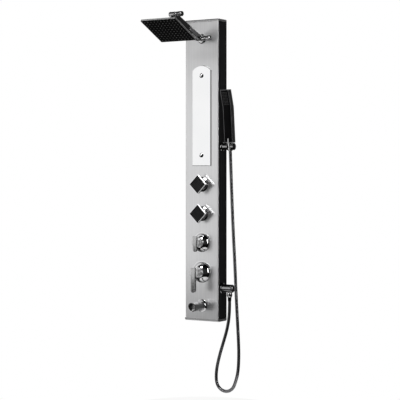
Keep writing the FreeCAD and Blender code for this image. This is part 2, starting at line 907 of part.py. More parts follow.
def jet_pad(label, height):
    """Rubber nozzle pad in the cup's front."""
    front = D.jet_reach
    size = D.jet_size - 4
    corners, arcs = rounded_box(size, size, 2)
    pad = padded("NozzlePad", "XY_Plane", corners, 6, arcs, lift=front - 6)
    softened(pad, "Chamfer", 0.8, lambda edge: edge.BoundBox.ZMin > front.value - 0.01)
    spun = OUT_OF_WALL.multiply(FreeCAD.Rotation(Z_AXIS, 45))
    keep(pad, label, 0, FRONT - D.jet_standoff, level(height), spun)


# ---- diverter and mixer


def domed_escutcheon(label, height, radius, dome, throat, bulge):
    """Thin spun dome round a valve's neck."""
    wall = 2
    crown = throat + 6
    corners = [
        (radius, 0),
        (radius, wall),
        (radius - 2.5, wall + 0.5),
        (crown, dome),
        (throat, dome),
        (throat, dome - wall),
        (crown - 1, dome - wall),
        (radius - 4.5, 0),
    ]
    arcs = {2: (bulge, 1), 6: (bulge - wall, -1)}
    on_front(turned("Escutcheon", corners, arcs), label, height)


def valve_handle(label, height, start, reach, hub, width, length, rise, stem):
    """Round hub with a groove, a flat plate across its front and the driver that turns the cartridge."""
    plate_back = reach - D.plate_gauge
    groove = plate_back - 8
    corners = [
        (0, start),
        (hub - 1.5, start),
        (hub, start + 1.5),
        (hub, groove - 1.5),
        (hub - 1.2, groove),
        (hub, groove + 1.5),
        (hub, plate_back),
        (hub - 4, plate_back + 3),
        (0, plate_back + 3),
    ]
    barrel = turned("Hub", corners)
    half = width / 2
    foot = rise - length
    outline = [(-half, foot + half), (half, foot + half), (half, rise - 3), (half - 3, rise), (3 - half, rise), (-half, rise - 3)]
    arcs = {0: (half, 1), 2: (3, 1), 4: (3, 1)}
    plate = padded("Plate", "XY_Plane", outline, D.plate_gauge, arcs, lift=plate_back)
    softened(plate, "Fillet", 2, lambda edge: edge.BoundBox.ZMin > reach.value - 0.01)
    driver = rod(stem, start + 29, 0, 0, -28)
    on_front(joined(barrel, plate, driver), label, height)


def cartridge(label, height, seat, neck, dome, stem):
    """Ceramic-disc cartridge: seated in the valve body, necked through the sheet, bored for the driver."""
    corners = [
        (0, -50),
        (seat, -50),
        (seat, -2),
        (neck, -2),
        (neck, dome - 3),
        (stem + 0.06, dome - 3),
        (stem + 0.06, -29),
        (0, -29),
    ]
    on_front(turned("Cartridge", corners), label, height)


def diverter_body():
    """Brass body: mixer feed below, jets and rain head above, spout and handset at the sides."""
    ways = [(30, 30, -28), (30, 30, -52), (30, 0, -40)]
    shell = joined(rod(25, 60.5, 0, 0, -62), rod(8, 60, -30, 0, -40, OUT_TO_RIGHT))
    ports = [rod(8, length, 0, y, z, OUT_OF_WALL) for length, y, z in ways]
    water = [rod(3.5, length, 0, y, z, OUT_OF_WALL) for length, y, z in ways]
    seat = rod(16, 48.5, 0, 0, -50)
    valve = cut(joined(shell, *ports), seat, rod(3.5, 60, -30, 0, -40, OUT_TO_RIGHT), *water)
    on_front(valve, "diverter_body", D.diverter_height)


def mixer_body():
    """Brass body with hot and cold inlets at the sides and the mixed outlet on top."""
    shell = joined(rod(29, 62.5, 0, 0, -64), rod(10, 84, -42, 0, -38, OUT_TO_RIGHT), rod(8, 36, 0, 36, -40, OUT_OF_WALL))
    seat = rod(18, 48.5, 0, 0, -50)
    water = [rod(4, 84, -42, 0, -38, OUT_TO_RIGHT), rod(4, 36, 0, 36, -40, OUT_OF_WALL)]
    on_front(cut(shell, seat, *water), "mixer_body", D.mixer_height)


# ---- tub spout


def tub_spout():
    """Flared flange running into a stout spout that falls a little and is cut back under its lip."""
    outer = D.spout_flange_radius
    body = D.spout_radius
    flare = turned("Flare", [(0, 0), (outer, 0), (outer, 2.5), (body + 1, 18), (0, 18)], {2: (15, -1)})
    tilt = FreeCAD.Rotation(X_AXIS, D.spout_fall.value)
    pipe = rod(body, D.spout_reach + 10, 0, 0, 4, tilt)
    beyond = moved(block(120, 120, 60), -60, -60, 0)
    nose = doc.addObject("Part::Compound", "Nose")
    nose.Links = [beyond]
    moved(nose, 0, body, D.spout_reach, FreeCAD.Rotation(X_AXIS, D.spout_cut.value))
    bore = rod(body - 2.5, 60, 0, -0.5, D.spout_reach - 38, tilt)
    tail = rod(11, 28, 0, 0, -28)
    port = rod(7, 24, -24, 0, -18, OUT_TO_RIGHT)
    side_way = rod(3.5, 24, -24, 0, -18, OUT_TO_RIGHT)
    water = rod(7, D.spout_reach - 20, 0, 0, -25)
    on_front(cut(joined(flare, pipe, tail, port), nose, bore, side_way, water), "tub_spout", D.spout_height)


def spout_aerator():
    """Ribbed outlet insert just inside the spout's mouth."""
    radius = D.spout_radius - 2.5
    tilt = FreeCAD.Rotation(X_AXIS, D.spout_fall.value)
    disc = rod(radius, 14, 0, -0.5, D.spout_reach - 38, tilt)
    slots = []
    for n in range(-2, 3):
        slots.append(block(3, 24, 12, 6.4 * n - 1.5, -12.5, D.spout_reach - 34))
    on_front(cut(disc, *slots), "spout_aerator", D.spout_height)


# ---- hose outlet and hose


def outlet_rosette():
    bore = D.outlet_radius
    outer = D.outlet_rosette_radius
    corners = [(bore, 0), (outer, 0), (outer, 1.5), (bore + 1.5, 7), (bore, 7)]
    on_right(turned("OutletRosette", corners, {2: (12, 1)}), "outlet_rosette", D.outlet_height)


def outlet_elbow():
    """Fat side elbow: round-ended barrel with a threaded outlet pointing down."""
    radius = D.outlet_radius
    end = D.outlet_reach + 28
    barrel = turned("Barrel", [(0, 0), (radius, 0), (radius, end - 11), (0, end)], {2: (dome_radius(radius, 11), 1)})
    tail = rod(9, 22, 0, 0, -22)
    down = rod(9.95, 37, 0, 0, D.outlet_reach, OUT_TO_RIGHT)
    water = rod(6, D.outlet_reach + 28, 0, 0, -22)
    way_down = rod(5, 40, 0, 0, D.outlet_reach, OUT_TO_RIGHT)
    on_right(cut(joined(barrel, tail, down), water, way_down), "outlet_elbow", D.outlet_height)


def outlet_nut():
    """Knurled swivel nut on the hose's lower end."""
    corners = [(8.2, 0), (10, 0), (13.5, 6), (13.5, 17), (12, 22), (10, 22), (10, 5.5), (8.2, 5.5)]
    nut = turned("SwivelNut", corners)
    keep(nut, "outlet_nut", RIGHT + D.outlet_reach, SIDE_Y, level(D.outlet_height - 43))


def hose_ferrule():
    """Dark tapered ferrule that grips the hose below the nut."""
    corners = [(6.2, -19), (D.hose_radius + 0.6, -19), (9.6, 0), (8.15, 0), (8.15, 5.5), (6.2, 5.5)]
    ferrule = turned("Ferrule", corners)
    keep(ferrule, "hose_ferrule", RIGHT + D.outlet_reach, SIDE_Y, level(D.outlet_height - 43))


HOLDER_TURN = FreeCAD.Rotation(X_AXIS, D.holder_angle.value)
HOLDER_X = RIGHT + D.holder_reach
HOSE_ROUTE = [
    (143, -35.4, 800),
    (146.5, -38, 737),
    (155.5, -45, 620),
    (164.5, -47, 450),
    (176, -50, 290),
    (184, -52, 140),
    (193, -53, 0),
    (201, -54, -125),
    (200, -54, -200),
    (194, -53, -250),
    (182, -53, -291),
    (166.5, -52, -326),
    (135.5, -51, -344.5),
    (100.5, -50, -341.5),
    (73, -48, -318.5),
    (65, -47, -283),
    (67, -45, -236),
    (82, -43, -172),
    (103, -42, -108),
    (126, -41, -38),
    (140, -41, 36),
]


def shower_hose():
    """Metal hose from the handset's cone, down below the panel and back up to the side outlet."""
    top_y = SIDE_Y + sine(D.holder_angle) * 21
    start = (HOLDER_X, top_y, level(D.holder_height - cosine(D.holder_angle) * 21))
    end = (RIGHT + D.outlet_reach, SIDE_Y, level(D.outlet_height - 62))
    points = [start] + [(x, y, level(z)) for x, y, z in HOSE_ROUTE] + [end]
    keep_tube("shower_hose", points, D.hose_radius, D.hose_bore)


# ---- holder and handset


def on_holder(thing, label):
    """Keeps a sub-part drawn about the point where the handset's axis crosses the holder's."""
    return keep(thing, label, HOLDER_X, SIDE_Y, level(D.holder_height), HOLDER_TURN)


def holder_rosette():
    corners = [(17.2, 0), (23, 0), (23, 1.5), (18.5, 6), (17.2, 6)]
    on_right(turned("HolderRosette", corners, {2: (8, 1)}), "holder_rosette", D.holder_height)


def holder_arm():
    """Fixed barrel of the holder with the screw tail that clamps it to the rail."""
    reach = D.holder_reach - 26
    corners = [(0, -14), (4, -14), (4, 0), (17, 0), (17, reach), (5, reach), (5, reach + 8), (0, reach + 8)]
    on_right(turned("HolderArm", corners), "holder_arm", D.holder_height)


def cone_radius(z, gap=0):
    """The cone's radius at a height above the holder's axis."""
    slope = (D.cone_top_radius - D.cone_bottom_radius) / D.cone_length
    return D.cone_bottom_radius + slope * (z + 21) + gap


def holder_cradle():
    """Turning end of the holder: a round block with a tapered seat and a slot for the hose."""
    radius = D.holder_radius
    start = -26 + D.side_gap
    bore = 5 + D.running_gap
    corners = [
        (bore, start),
        (17, start),
        (17, -18),
        (radius, -17),
        (radius, 24),
        (0, 30),
        (0, -17.5),
        (bore, -17.5),
    ]
    lying = moved(turned("Cradle", corners, {4: (dome_radius(radius, 6), 1)}), 0, 0, 0, OUT_TO_RIGHT)
    seat = turned("Seat", [(0, -18), (cone_radius(-18, D.cone_gap), -18), (cone_radius(18, D.cone_gap), 18), (0, 18)])
    slot = block(18.5, 30, 44, -9.25, -30, -22)
    on_holder(cut(lying, seat, slot), "holder_cradle")


def hose_cone():
    """Tapered nut of the hose that sits in the cradle and screws onto the handset."""
    top = D.cone_length - 21
    bore = 8.2
    corners = [
        (bore, -21),
        (D.cone_bottom_radius, -21),
        (D.cone_top_radius, top),
        (0, top),
        (0, top - 4),
        (bore, top - 4),
    ]
    on_holder(turned("ConeNut", corners), "hose_cone")


def handset_profile(front, back, margin=0):
    """Side view of the wand: straight handle, then the head leaning towards the room."""
    foot = D.cone_length - 21 + 2 + margin
    bend = D.cone_length - 21 + 2 + D.handle_length
    lean = D.handset_head_angle
    rise = (D.handset_head_length - margin) * cosine(lean)
    shift = (D.handset_head_length - margin) * sine(lean)
    return [(front, foot), (back, foot), (back, bend), (back - shift, bend + rise), (front - shift, bend + rise), (front, bend)]


def handset_shell():
    """Flat rectangular wand with rounded edges, recessed in front for its black cover."""
    half = D.handset_thickness / 2
    foot = D.cone_length - 21 + 2
    wand = padded("Wand", "YZ_Plane", handset_profile(-half, half), D.handset_width, middle=True)

    def side_edge(edge):
        box = edge.BoundBox
        return box.XLength < 0.01 and box.ZLength > 20

    softened(wand, "Fillet", 3, side_edge)
    recess = padded("Recess", "YZ_Plane", handset_profile(-half - 5, 2 - half, 4), D.handset_width - 9, middle=True)
    socket = rod(8.2, 33, 0, -9, foot - 1)
    inlet = rod(8, 11, 0, 0, foot - 1)
    chamber = padded("Chamber", "YZ_Plane", handset_profile(4.5 - half, half - 2.5, 9), D.handset_width - 5, middle=True)
    on_holder(cut(wand, recess, socket, inlet, chamber), "handset_shell")


def handset_face():
    """Black front cover that runs up over the spray head."""
    half = D.handset_thickness / 2
    foot = D.cone_length - 21 + 2
    cover = padded("Cover", "YZ_Plane", handset_profile(-half - 1.2, 2 - half, 4), D.handset_width - 9, middle=True)
    on_holder(cut(cover, rod(8.2, 33, 0, -9, foot - 1)), "handset_face")


def handset_neck():
    """Chrome neck that joins the cone nut to the wand, showing through its front."""
    foot = D.cone_length - 21
    corners = [(0, foot + 2), (8, foot + 2), (7, foot + 22), (0, foot + 32)]
    bullet = moved(turned("NeckCone", corners, {2: (dome_radius(7, 10), 1)}), 0, -9, 0)
    on_holder(joined(bullet, rod(8, 12, 0, 0, foot)), "handset_neck")


# ---- supply inside the column


def straight_tube(radius, bore, x, y, start, finish):
    """An upright tube between two heights above the foot."""
    length = finish - start
    run = turned("Supply", [(bore, 0), (radius, 0), (radius, length), (bore, length)])
    return moved(run, x, y, level(start))


def supply_tubes():
    """Feed from the mixer to the diverter, then on to the two jets."""
    top = D.diverter_height + 30
    jets_y = FRONT + 28
    runs = [
        straight_tube(7, 5, 0, FRONT + 40, D.mixer_height + 36, D.diverter_height - 30),
        straight_tube(5, 3.5, 0, jets_y, top, D.lower_jet_height - 12),
        straight_tube(5, 3.5, 0, jets_y, D.lower_jet_height + 12, D.upper_jet_height - 12),
    ]
    keep(group(runs), "supply_tubes")


def riser_tube():
    """Long tube from the diverter up to the arm's stub."""
    back, front = FRONT + 52, FRONT + 20
    arm = level(D.arm_height)
    way = [
        (0, back, level(D.diverter_height + 30)),
        (0, back, arm - 14),
        (0, back - 14, arm),
        (0, front, arm),
    ]
    keep_tube("riser_tube", way, 6, 4)


def outlet_tubes():
    """Tubes from the diverter's sides to the hose outlet and to the tub spout."""
    middle = FRONT + 40
    side_z = level(D.diverter_height)
    outlet_z = level(D.outlet_height)
    to_outlet = [
        (30, middle, side_z),
        (66, middle, side_z),
        (56, FRONT + 16, side_z - 61),
        (46, FRONT + 18, outlet_z + 50),
        (46, SIDE_Y, outlet_z),
        (RIGHT - 22, SIDE_Y, outlet_z),
    ]
    spout_z = level(D.spout_height)
    to_spout = [
        (-30, middle, side_z),
        (-72, middle, side_z),
        (-72, FRONT + 18, side_z - 91),
        (-72, FRONT + 18, spout_z),
        (-24, FRONT + 18, spout_z),
    ]
    tubes = [tube("OutletTube", to_outlet, sized(5), sized(3.5)), tube("SpoutTube", to_spout, sized(5), sized(3.5))]
    keep(group(tubes), "outlet_tubes")


def inlet_hoses():
    """Braided hoses from the mixer's side ports up to the wall nuts, one for hot and one for cold."""
    hoses = []
    for side in (-1, 1):
        x = side * D.inlet_spacing / 2
        mixer_z, inlet_z = level(D.mixer_height), level(D.inlet_height)
        way = [
            (side * 42, FRONT + 38, mixer_z),
            (side * 72, FRONT + 38, mixer_z),
            (side * 68, FRONT + 32, mixer_z + 56),
            (x, FRONT + 30, inlet_z),
            (x, -14, inlet_z),
        ]
        hoses.append(tube("InletHose", way, sized(6), sized(4)))
    keep(group(hoses), "inlet_hoses")


def inlet_nuts():
    """Union nuts that take the wall supplies from behind."""
    nuts = []
    thread = D.inlet_thread / 2
    corners = [(4, 0), (8, 0), (12.5, 3), (12.5, 13), (thread, 13), (thread, 1), (4, 1)]
    for side in (-1, 1):
        nut = turned("Union", corners)
        back = FreeCAD.Rotation(X_AXIS, -90)
        nuts.append(moved(nut, side * D.inlet_spacing / 2, -14, level(D.inlet_height), back))
    keep(group(nuts), "inlet_nuts")


def build():
    front_panel()
    side_rail("left_side_rail", -1)
    side_rail("right_side_rail", 1)
    end_cap("top_cap", level(D.panel_height - D.cap_height), UPRIGHT)
    end_cap("bottom_cap", level(D.cap_height), FreeCAD.Rotation(Y_AXIS, 180))
    back_straps()
    strap_rivets()
    wall_brackets()
    mirror_plate()
    mirror_screws()
    arm_rosette()
    arm_base()
    arm_base_nut()
    pivot_bolt("lower_pivot_bolt", LOWER_AXIS, D.lower_clamp_length)
    clamp_knob("lower_clamp_knob", LOWER_AXIS, D.lower_clamp_length)
    shower_arm()
    pivot_bolt("upper_pivot_bolt", UPPER_AXIS, D.upper_clamp_length)
    clamp_knob("upper_clamp_knob", UPPER_AXIS, D.upper_clamp_length)
    head_elbow()
    head_seal_ring()
    head_collar_nut()
    rain_head_shell()
    rain_head_face()
    for name, height in (("upper_jet", D.upper_jet_height), ("lower_jet", D.lower_jet_height)):
        jet_rosette(f"{name}_rosette", height)
        jet_stem(f"{name}_stem", height)
        jet_ring(f"{name}_ring", height)
        jet_body(f"{name}_body", height)
        jet_pad(f"{name}_pad", height)
    domed_escutcheon("diverter_escutcheon", D.diverter_height, D.diverter_rosette_radius, D.diverter_dome, 18, 42)
    valve_handle(
        "diverter_handle",
        D.diverter_height,
        D.diverter_dome + 1,
        D.diverter_reach,
        D.diverter_hub_radius,
        D.diverter_plate_width,
        D.diverter_plate_length,
        D.diverter_plate_rise,
        5,
    )
    cartridge("diverter_cartridge", D.diverter_height, 16, 13, D.diverter_dome, 5)
    diverter_body()
    domed_escutcheon("mixer_escutcheon", D.mixer_height, D.mixer_rosette_radius, D.mixer_dome, 20, 47)
    valve_handle(
        "mixer_handle",
        D.mixer_height,
        D.mixer_dome + 1,
        D.mixer_reach,
        D.mixer_hub_radius,
        D.mixer_plate_width,
        D.mixer_plate_length,
        D.mixer_plate_rise,
        6,
    )
    cartridge("mixer_cartridge", D.mixer_height, 18, 15, D.mixer_dome, 6)
    mixer_body()
    tub_spout()
    spout_aerator()
    outlet_rosette()
    outlet_elbow()
    outlet_nut()
    hose_ferrule()
    shower_hose()
    holder_rosette()
    holder_arm()
    holder_cradle()
    hose_cone()
    handset_shell()
    handset_face()
    handset_neck()
    supply_tubes()
    riser_tube()
    outlet_tubes()
    inlet_hoses()
    inlet_nuts()


def export():
    """Writes each sub-part once every feature is sound."""
    doc.recompute()
    for thing in doc.Objects:
        if "Invalid" in thing.State or "Error" in thing.State:
            raise SystemExit(f"{thing.Label} did not compute: {thing.State}")
    for label, thing in PARTS.items():
        if thing.Shape.isNull() or not thing.Shape.isValid():
            raise SystemExit(f"{label} has no sound shape")
    os.makedirs("parts", exist_ok=True)
    for label, thing in PARTS.items():
        thing.Shape.exportStep(f"parts/{label}.step")
    print(f"{len(PARTS)} sub-parts written")


build()
export()
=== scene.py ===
"""Shower panel column: brushed-steel front between black side profiles, rain head on a clamped square arm,
arched mirror plate, two square jets, diverter, mixer lever, tub spout, and a handset on a looping metal hose.
Metres, in the CAD model's frame: origin on the wall between the upper bracket's holes, -Y into the room,
+Z up."""

import json
import math

import bpy
from mathutils import Matrix, Vector


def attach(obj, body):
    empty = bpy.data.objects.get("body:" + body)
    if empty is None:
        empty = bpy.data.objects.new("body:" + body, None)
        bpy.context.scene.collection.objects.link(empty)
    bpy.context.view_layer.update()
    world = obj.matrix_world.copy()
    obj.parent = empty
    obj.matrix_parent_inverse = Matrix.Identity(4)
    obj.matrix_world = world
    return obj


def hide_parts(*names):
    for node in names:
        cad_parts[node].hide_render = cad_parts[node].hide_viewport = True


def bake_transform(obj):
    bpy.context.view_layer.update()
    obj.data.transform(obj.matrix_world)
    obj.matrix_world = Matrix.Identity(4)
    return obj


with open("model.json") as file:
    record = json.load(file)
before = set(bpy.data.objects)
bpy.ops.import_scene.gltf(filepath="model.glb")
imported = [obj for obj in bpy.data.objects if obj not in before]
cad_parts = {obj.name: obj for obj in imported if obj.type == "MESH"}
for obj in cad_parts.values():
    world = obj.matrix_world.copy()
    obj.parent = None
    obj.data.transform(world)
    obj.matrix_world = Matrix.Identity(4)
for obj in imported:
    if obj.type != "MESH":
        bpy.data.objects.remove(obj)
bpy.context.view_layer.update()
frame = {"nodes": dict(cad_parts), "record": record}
NODES = frame["nodes"]

FOOT = -1.300  # the column's foot, so a height above the foot is FOOT + height
FRONT_Y = -0.076
SIDE_Y = -0.041  # the fittings on the right side stand in this plane


# ---- camera

VIEW_MIDDLE = Vector((-0.003, 0.0, FOOT + 0.750))
VIEW_TURN = math.radians(32.09)
VIEW_DISTANCE = 6.541
VIEW_LENS = 117.045  # millimetres, on a frame 36 wide
VIEW_SHIFT = (-0.0237, -0.0744)


def place_camera():
    """The photograph's view: level, 32 degrees round to the right, 6.5 m away, with a long lens."""
    ahead = Vector((-math.sin(VIEW_TURN), math.cos(VIEW_TURN), 0))
    lens = bpy.data.cameras.new("camera")
    lens.sensor_width = 36
    lens.lens = VIEW_LENS
    lens.shift_x, lens.shift_y = VIEW_SHIFT
    lens.clip_end = 50
    camera = bpy.data.objects.new("camera", lens)
    bpy.context.scene.collection.objects.link(camera)
    camera.location = VIEW_MIDDLE - ahead * VIEW_DISTANCE
    camera.rotation_euler = ahead.to_track_quat("-Z", "Y").to_euler()
    bpy.context.scene.camera = camera


place_camera()


# ---- working by hand: picking a piece and opening it for editing


def pick(piece):
    """Leaves only this piece selected and active."""
    bpy.ops.object.select_all(action="DESELECT")
    piece.select_set(True)
    bpy.context.view_layer.objects.active = piece


def edit(piece, kind="VERT"):
    """Opens only this piece for editing, by its vertices, edges or faces."""
    if bpy.context.mode != "OBJECT":
        leave_edit()
    pick(piece)
    bpy.ops.object.mode_set(mode="EDIT")
    bpy.ops.mesh.select_mode(type=kind)


def leave_edit():
    bpy.ops.object.mode_set(mode="OBJECT")


# ---- finishes


def new_finish(name):
    """An empty material with its shader and output, and the coordinates that its patterns follow."""
    material = bpy.data.materials.new(name)
    material.use_nodes = True
    nodes, links = material.node_tree.nodes, material.node_tree.links
    nodes.clear()
    shader = nodes.new("ShaderNodeBsdfPrincipled")
    output = nodes.new("ShaderNodeOutputMaterial")
    links.new(shader.outputs["BSDF"], output.inputs["Surface"])
    place = nodes.new("ShaderNodeTexCoord")
    return material, shader, place


def noise(material, place, scale, stretch=(1, 1, 1), detail=4.0):
    """Noise over the piece, drawn out along an axis by a small number in stretch."""
    nodes, links = material.node_tree.nodes, material.node_tree.links
    mapping = nodes.new("ShaderNodeMapping")
    mapping.inputs["Scale"].default_value = stretch
    links.new(place.outputs["Object"], mapping.inputs["Vector"])
    texture = nodes.new("ShaderNodeTexNoise")
    texture.inputs["Scale"].default_value = scale
    texture.inputs["Detail"].default_value = detail
    links.new(mapping.outputs["Vector"], texture.inputs["Vector"])
    return texture


def ramp(owner, source, stops):
    """A colour ramp over a pattern, in a material or the world; stops are (place, (r, g, b) or grey)."""
    nodes, links = owner.node_tree.nodes, owner.node_tree.links
    band = nodes.new("ShaderNodeValToRGB")
    while len(band.color_ramp.elements) < len(stops):
        band.color_ramp.elements.new(0.5)
    for element, (spot, colour) in zip(band.color_ramp.elements, stops):
        element.position = spot
        rgb = colour if isinstance(colour, tuple) else (colour,) * 3
        element.color = (*rgb, 1)
    links.new(source, band.inputs["Fac"])
    return band.outputs["Color"]


def bump(material, shader, source, distance, strength):
    """Relief on the surface from a pattern, its full height given in metres."""
    nodes, links = material.node_tree.nodes, material.node_tree.links
    relief = nodes.new("ShaderNodeBump")
    relief.inputs["Distance"].default_value = distance
    relief.inputs["Strength"].default_value = strength
    links.new(source, relief.inputs["Height"])
    links.new(relief.outputs["Normal"], shader.inputs["Normal"])


def brushed_stainless():
    """Long upright brush lines, a little cloudy from wiping."""
    material, shader, place = new_finish("brushed stainless")
    lines = noise(material, place, 1.0, (900, 900, 3.0), 3)
    clouds = noise(material, place, 4.0, (1, 1, 0.6), 2)
    links = material.node_tree.links
    colour = ramp(material, lines.outputs["Fac"], [(0.25, (0.70, 0.70, 0.705)), (0.75, (0.83, 0.83, 0.835))])
    links.new(colour, shader.inputs["Base Color"])
    links.new(ramp(material, clouds.outputs["Fac"], [(0.3, 0.30), (0.7, 0.36)]), shader.inputs["Roughness"])
    shader.inputs["Metallic"].default_value = 0.98
    bump(material, shader, lines.outputs["Fac"], 0.00005, 0.25)
    return material


def plated(name, grey, rough=(0.035, 0.075), metallic=1.0):
    """Plating, bright unless it is given more roughness, with a faint haze of wiped water marks."""
    material, shader, place = new_finish(name)
    haze = noise(material, place, 38.0, (1, 1, 1), 5)
    links = material.node_tree.links
    dull = ramp(material, haze.outputs["Fac"], [(0.35, rough[0]), (0.75, rough[1])])
    links.new(dull, shader.inputs["Roughness"])
    tint = ramp(material, haze.outputs["Fac"], [(0.3, (grey, grey, grey + 0.005)), (0.8, grey - 0.03)])
    links.new(tint, shader.inputs["Base Color"])
    shader.inputs["Metallic"].default_value = metallic
    return material


def satin_chrome():
    """Satin plating of the handles, finely bead-blasted."""
    material, shader, place = new_finish("satin chrome")
    grain = noise(material, place, 900.0, (1, 1, 1), 2)
    links = material.node_tree.links
    links.new(ramp(material, grain.outputs["Fac"], [(0.3, 0.22), (0.7, 0.30)]), shader.inputs["Roughness"])
    tint = ramp(material, grain.outputs["Fac"], [(0.3, 0.46), (0.7, 0.52)])
    links.new(tint, shader.inputs["Base Color"])
    shader.inputs["Metallic"].default_value = 1.0
    bump(material, shader, grain.outputs["Fac"], 0.00002, 0.3)
    return material


def black_anodised():
    """Satin black extrusion with faint die lines along its length."""
    material, shader, place = new_finish("black anodised")
    lines = noise(material, place, 1.0, (260, 260, 1.2), 2)
    links = material.node_tree.links
    links.new(ramp(material, lines.outputs["Fac"], [(0.3, 0.30), (0.7, 0.42)]), shader.inputs["Roughness"])
    tint = ramp(material, lines.outputs["Fac"], [(0.3, (0.003, 0.003, 0.0035)), (0.7, (0.008, 0.008, 0.009))])
    links.new(tint, shader.inputs["Base Color"])
    shader.inputs["Specular IOR Level"].default_value = 0.14
    bump(material, shader, lines.outputs["Fac"], 0.00005, 0.3)
    return material


def moulded(name, dark, light, rough, grain_scale=700.0, relief=0.00004, gloss=0.5):
    """Moulded plastic or rubber with a fine spark-eroded grain; gloss is how much light its skin returns."""
    material, shader, place = new_finish(name)
    grain = noise(material, place, grain_scale, (1, 1, 1), 3)
    broad = noise(material, place, 9.0, (1, 1, 1), 2)
    links = material.node_tree.links
    links.new(ramp(material, broad.outputs["Fac"], [(0.3, dark), (0.7, light)]), shader.inputs["Base Color"])
    dull = ramp(material, grain.outputs["Fac"], [(0.3, rough[0]), (0.7, rough[1])])
    links.new(dull, shader.inputs["Roughness"])
    shader.inputs["Specular IOR Level"].default_value = gloss
    bump(material, shader, grain.outputs["Fac"], relief, 0.4)
    return material


def mirror_finish():
    """Silvered plate: near perfect, with the slightest ripple."""
    material, shader, place = new_finish("mirror plate")
    ripple = noise(material, place, 7.0, (1, 1, 1), 1)
    shader.inputs["Metallic"].default_value = 1.0
    links = material.node_tree.links
    tint = ramp(material, ripple.outputs["Fac"], [(0.3, (0.93, 0.935, 0.94)), (0.7, (0.96, 0.96, 0.965))])
    links.new(tint, shader.inputs["Base Color"])
    shader.inputs["Roughness"].default_value = 0.02
    bump(material, shader, ripple.outputs["Fac"], 0.0001, 0.05)
    return material


def cast_brass():
    """Machined brass of the valve bodies, a little uneven in colour."""
    material, shader, place = new_finish("machined brass")
    marks = noise(material, place, 60.0, (1, 1, 1), 4)
    links = material.node_tree.links
    tint = ramp(material, marks.outputs["Fac"], [(0.3, (0.62, 0.45, 0.19)), (0.7, (0.78, 0.60, 0.30))])
    links.new(tint, shader.inputs["Base Color"])
    links.new(ramp(material, marks.outputs["Fac"], [(0.3, 0.25), (0.7, 0.42)]), shader.inputs["Roughness"])
    shader.inputs["Metallic"].default_value = 1.0
    return material


def zinc_plate():
    """Dull zinc of the straps and brackets, with its spangle."""
    material, shader, place = new_finish("zinc plate")
    spangle = material.node_tree.nodes.new("ShaderNodeTexVoronoi")
    spangle.inputs["Scale"].default_value = 160.0
    links = material.node_tree.links
    links.new(place.outputs["Object"], spangle.inputs["Vector"])
    tint = ramp(material, spangle.outputs["Distance"], [(0.0, (0.50, 0.51, 0.53)), (0.8, (0.62, 0.63, 0.65))])
    links.new(tint, shader.inputs["Base Color"])
    shader.inputs["Metallic"].default_value = 1.0
    shader.inputs["Roughness"].default_value = 0.45
    return material


def braided_steel():
    """Crossed strands of the inlet hoses' braid."""
    material, shader, place = new_finish("braided steel")
    nodes, links = material.node_tree.nodes, material.node_tree.links
    waves = []
    for lean in (45, -45):
        mapping = nodes.new("ShaderNodeMapping")
        mapping.inputs["Rotation"].default_value = (0, math.radians(lean), 0)
        links.new(place.outputs["Object"], mapping.inputs["Vector"])
        wave = nodes.new("ShaderNodeTexWave")
        wave.inputs["Scale"].default_value = 220.0
        links.new(mapping.outputs["Vector"], wave.inputs["Vector"])
        waves.append(wave.outputs["Fac"])
    crossing = nodes.new("ShaderNodeMath")
    crossing.operation = "MAXIMUM"
    links.new(waves[0], crossing.inputs[0])
    links.new(waves[1], crossing.inputs[1])
    tint = ramp(material, crossing.outputs[0], [(0.2, (0.30, 0.30, 0.31)), (0.9, (0.64, 0.64, 0.65))])
    links.new(tint, shader.inputs["Base Color"])
    shader.inputs["Metallic"].default_value = 1.0
    shader.inputs["Roughness"].default_value = 0.38
    bump(material, shader, crossing.outputs[0], 0.0004, 0.8)
    return material


def hose_steel():
    """Interlocked metal strip: smoother crests and rougher grooves, with painted shade darkening the grooves
    and a little random rubbing.
    """
    material, shader, place = new_finish("hose steel")
    nodes, links = material.node_tree.nodes, material.node_tree.links
    crest = nodes.new("ShaderNodeAttribute")
    crest.attribute_name = "crest"
    rub = noise(material, place, 90.0, (1, 1, 1), 3)
    groove_shade_and_rub = nodes.new("ShaderNodeMath")
    groove_shade_and_rub.operation = "MULTIPLY_ADD"
    groove_shade_and_rub.inputs[1].default_value = 0.25
    links.new(rub.outputs["Fac"], groove_shade_and_rub.inputs[0])
    links.new(crest.outputs["Fac"], groove_shade_and_rub.inputs[2])
    # painted shade: the grooves' colour is far darker than the crests', with the rubbing's random tone on top
    tint = ramp(material, groove_shade_and_rub.outputs[0], [(0.05, (0.03, 0.03, 0.032)), (0.95, (0.30, 0.30, 0.31))])
    links.new(tint, shader.inputs["Base Color"])
    links.new(ramp(material, groove_shade_and_rub.outputs[0], [(0.1, 0.45), (1.0, 0.20)]), shader.inputs["Roughness"])
    shader.inputs["Metallic"].default_value = 1.0
    return material


# ---- shower hose

HOSE_CREST = 0.0080
HOSE_GROOVE = 0.0074
HOSE_PITCH = 0.0035
HOSE_SIDES = 16
HOSE_ROUTE = [
    (0.1430, -0.03917, -0.45392),
    (0.1430, -0.03540, -0.50000),
    (0.1465, -0.03800, -0.56300),
    (0.1555, -0.04500, -0.68000),
    (0.1645, -0.04700, -0.85000),
    (0.1760, -0.05000, -1.01000),
    (0.1840, -0.05200, -1.16000),
    (0.1930, -0.05300, -1.30000),
    (0.2010, -0.05400, -1.42500),
    (0.2000, -0.05400, -1.50000),
    (0.1940, -0.05300, -1.55000),
    (0.1820, -0.05300, -1.59100),
    (0.1665, -0.05200, -1.62600),
    (0.1355, -0.05100, -1.64450),
    (0.1005, -0.05000, -1.64150),
    (0.0730, -0.04800, -1.61850),
    (0.0650, -0.04700, -1.58300),
    (0.0670, -0.04500, -1.53600),
    (0.0820, -0.04300, -1.47200),
    (0.1030, -0.04200, -1.40800),
    (0.1260, -0.04100, -1.33800),
    (0.1400, -0.04100, -1.26400),
    (0.1400, -0.04100, -1.19700),
]


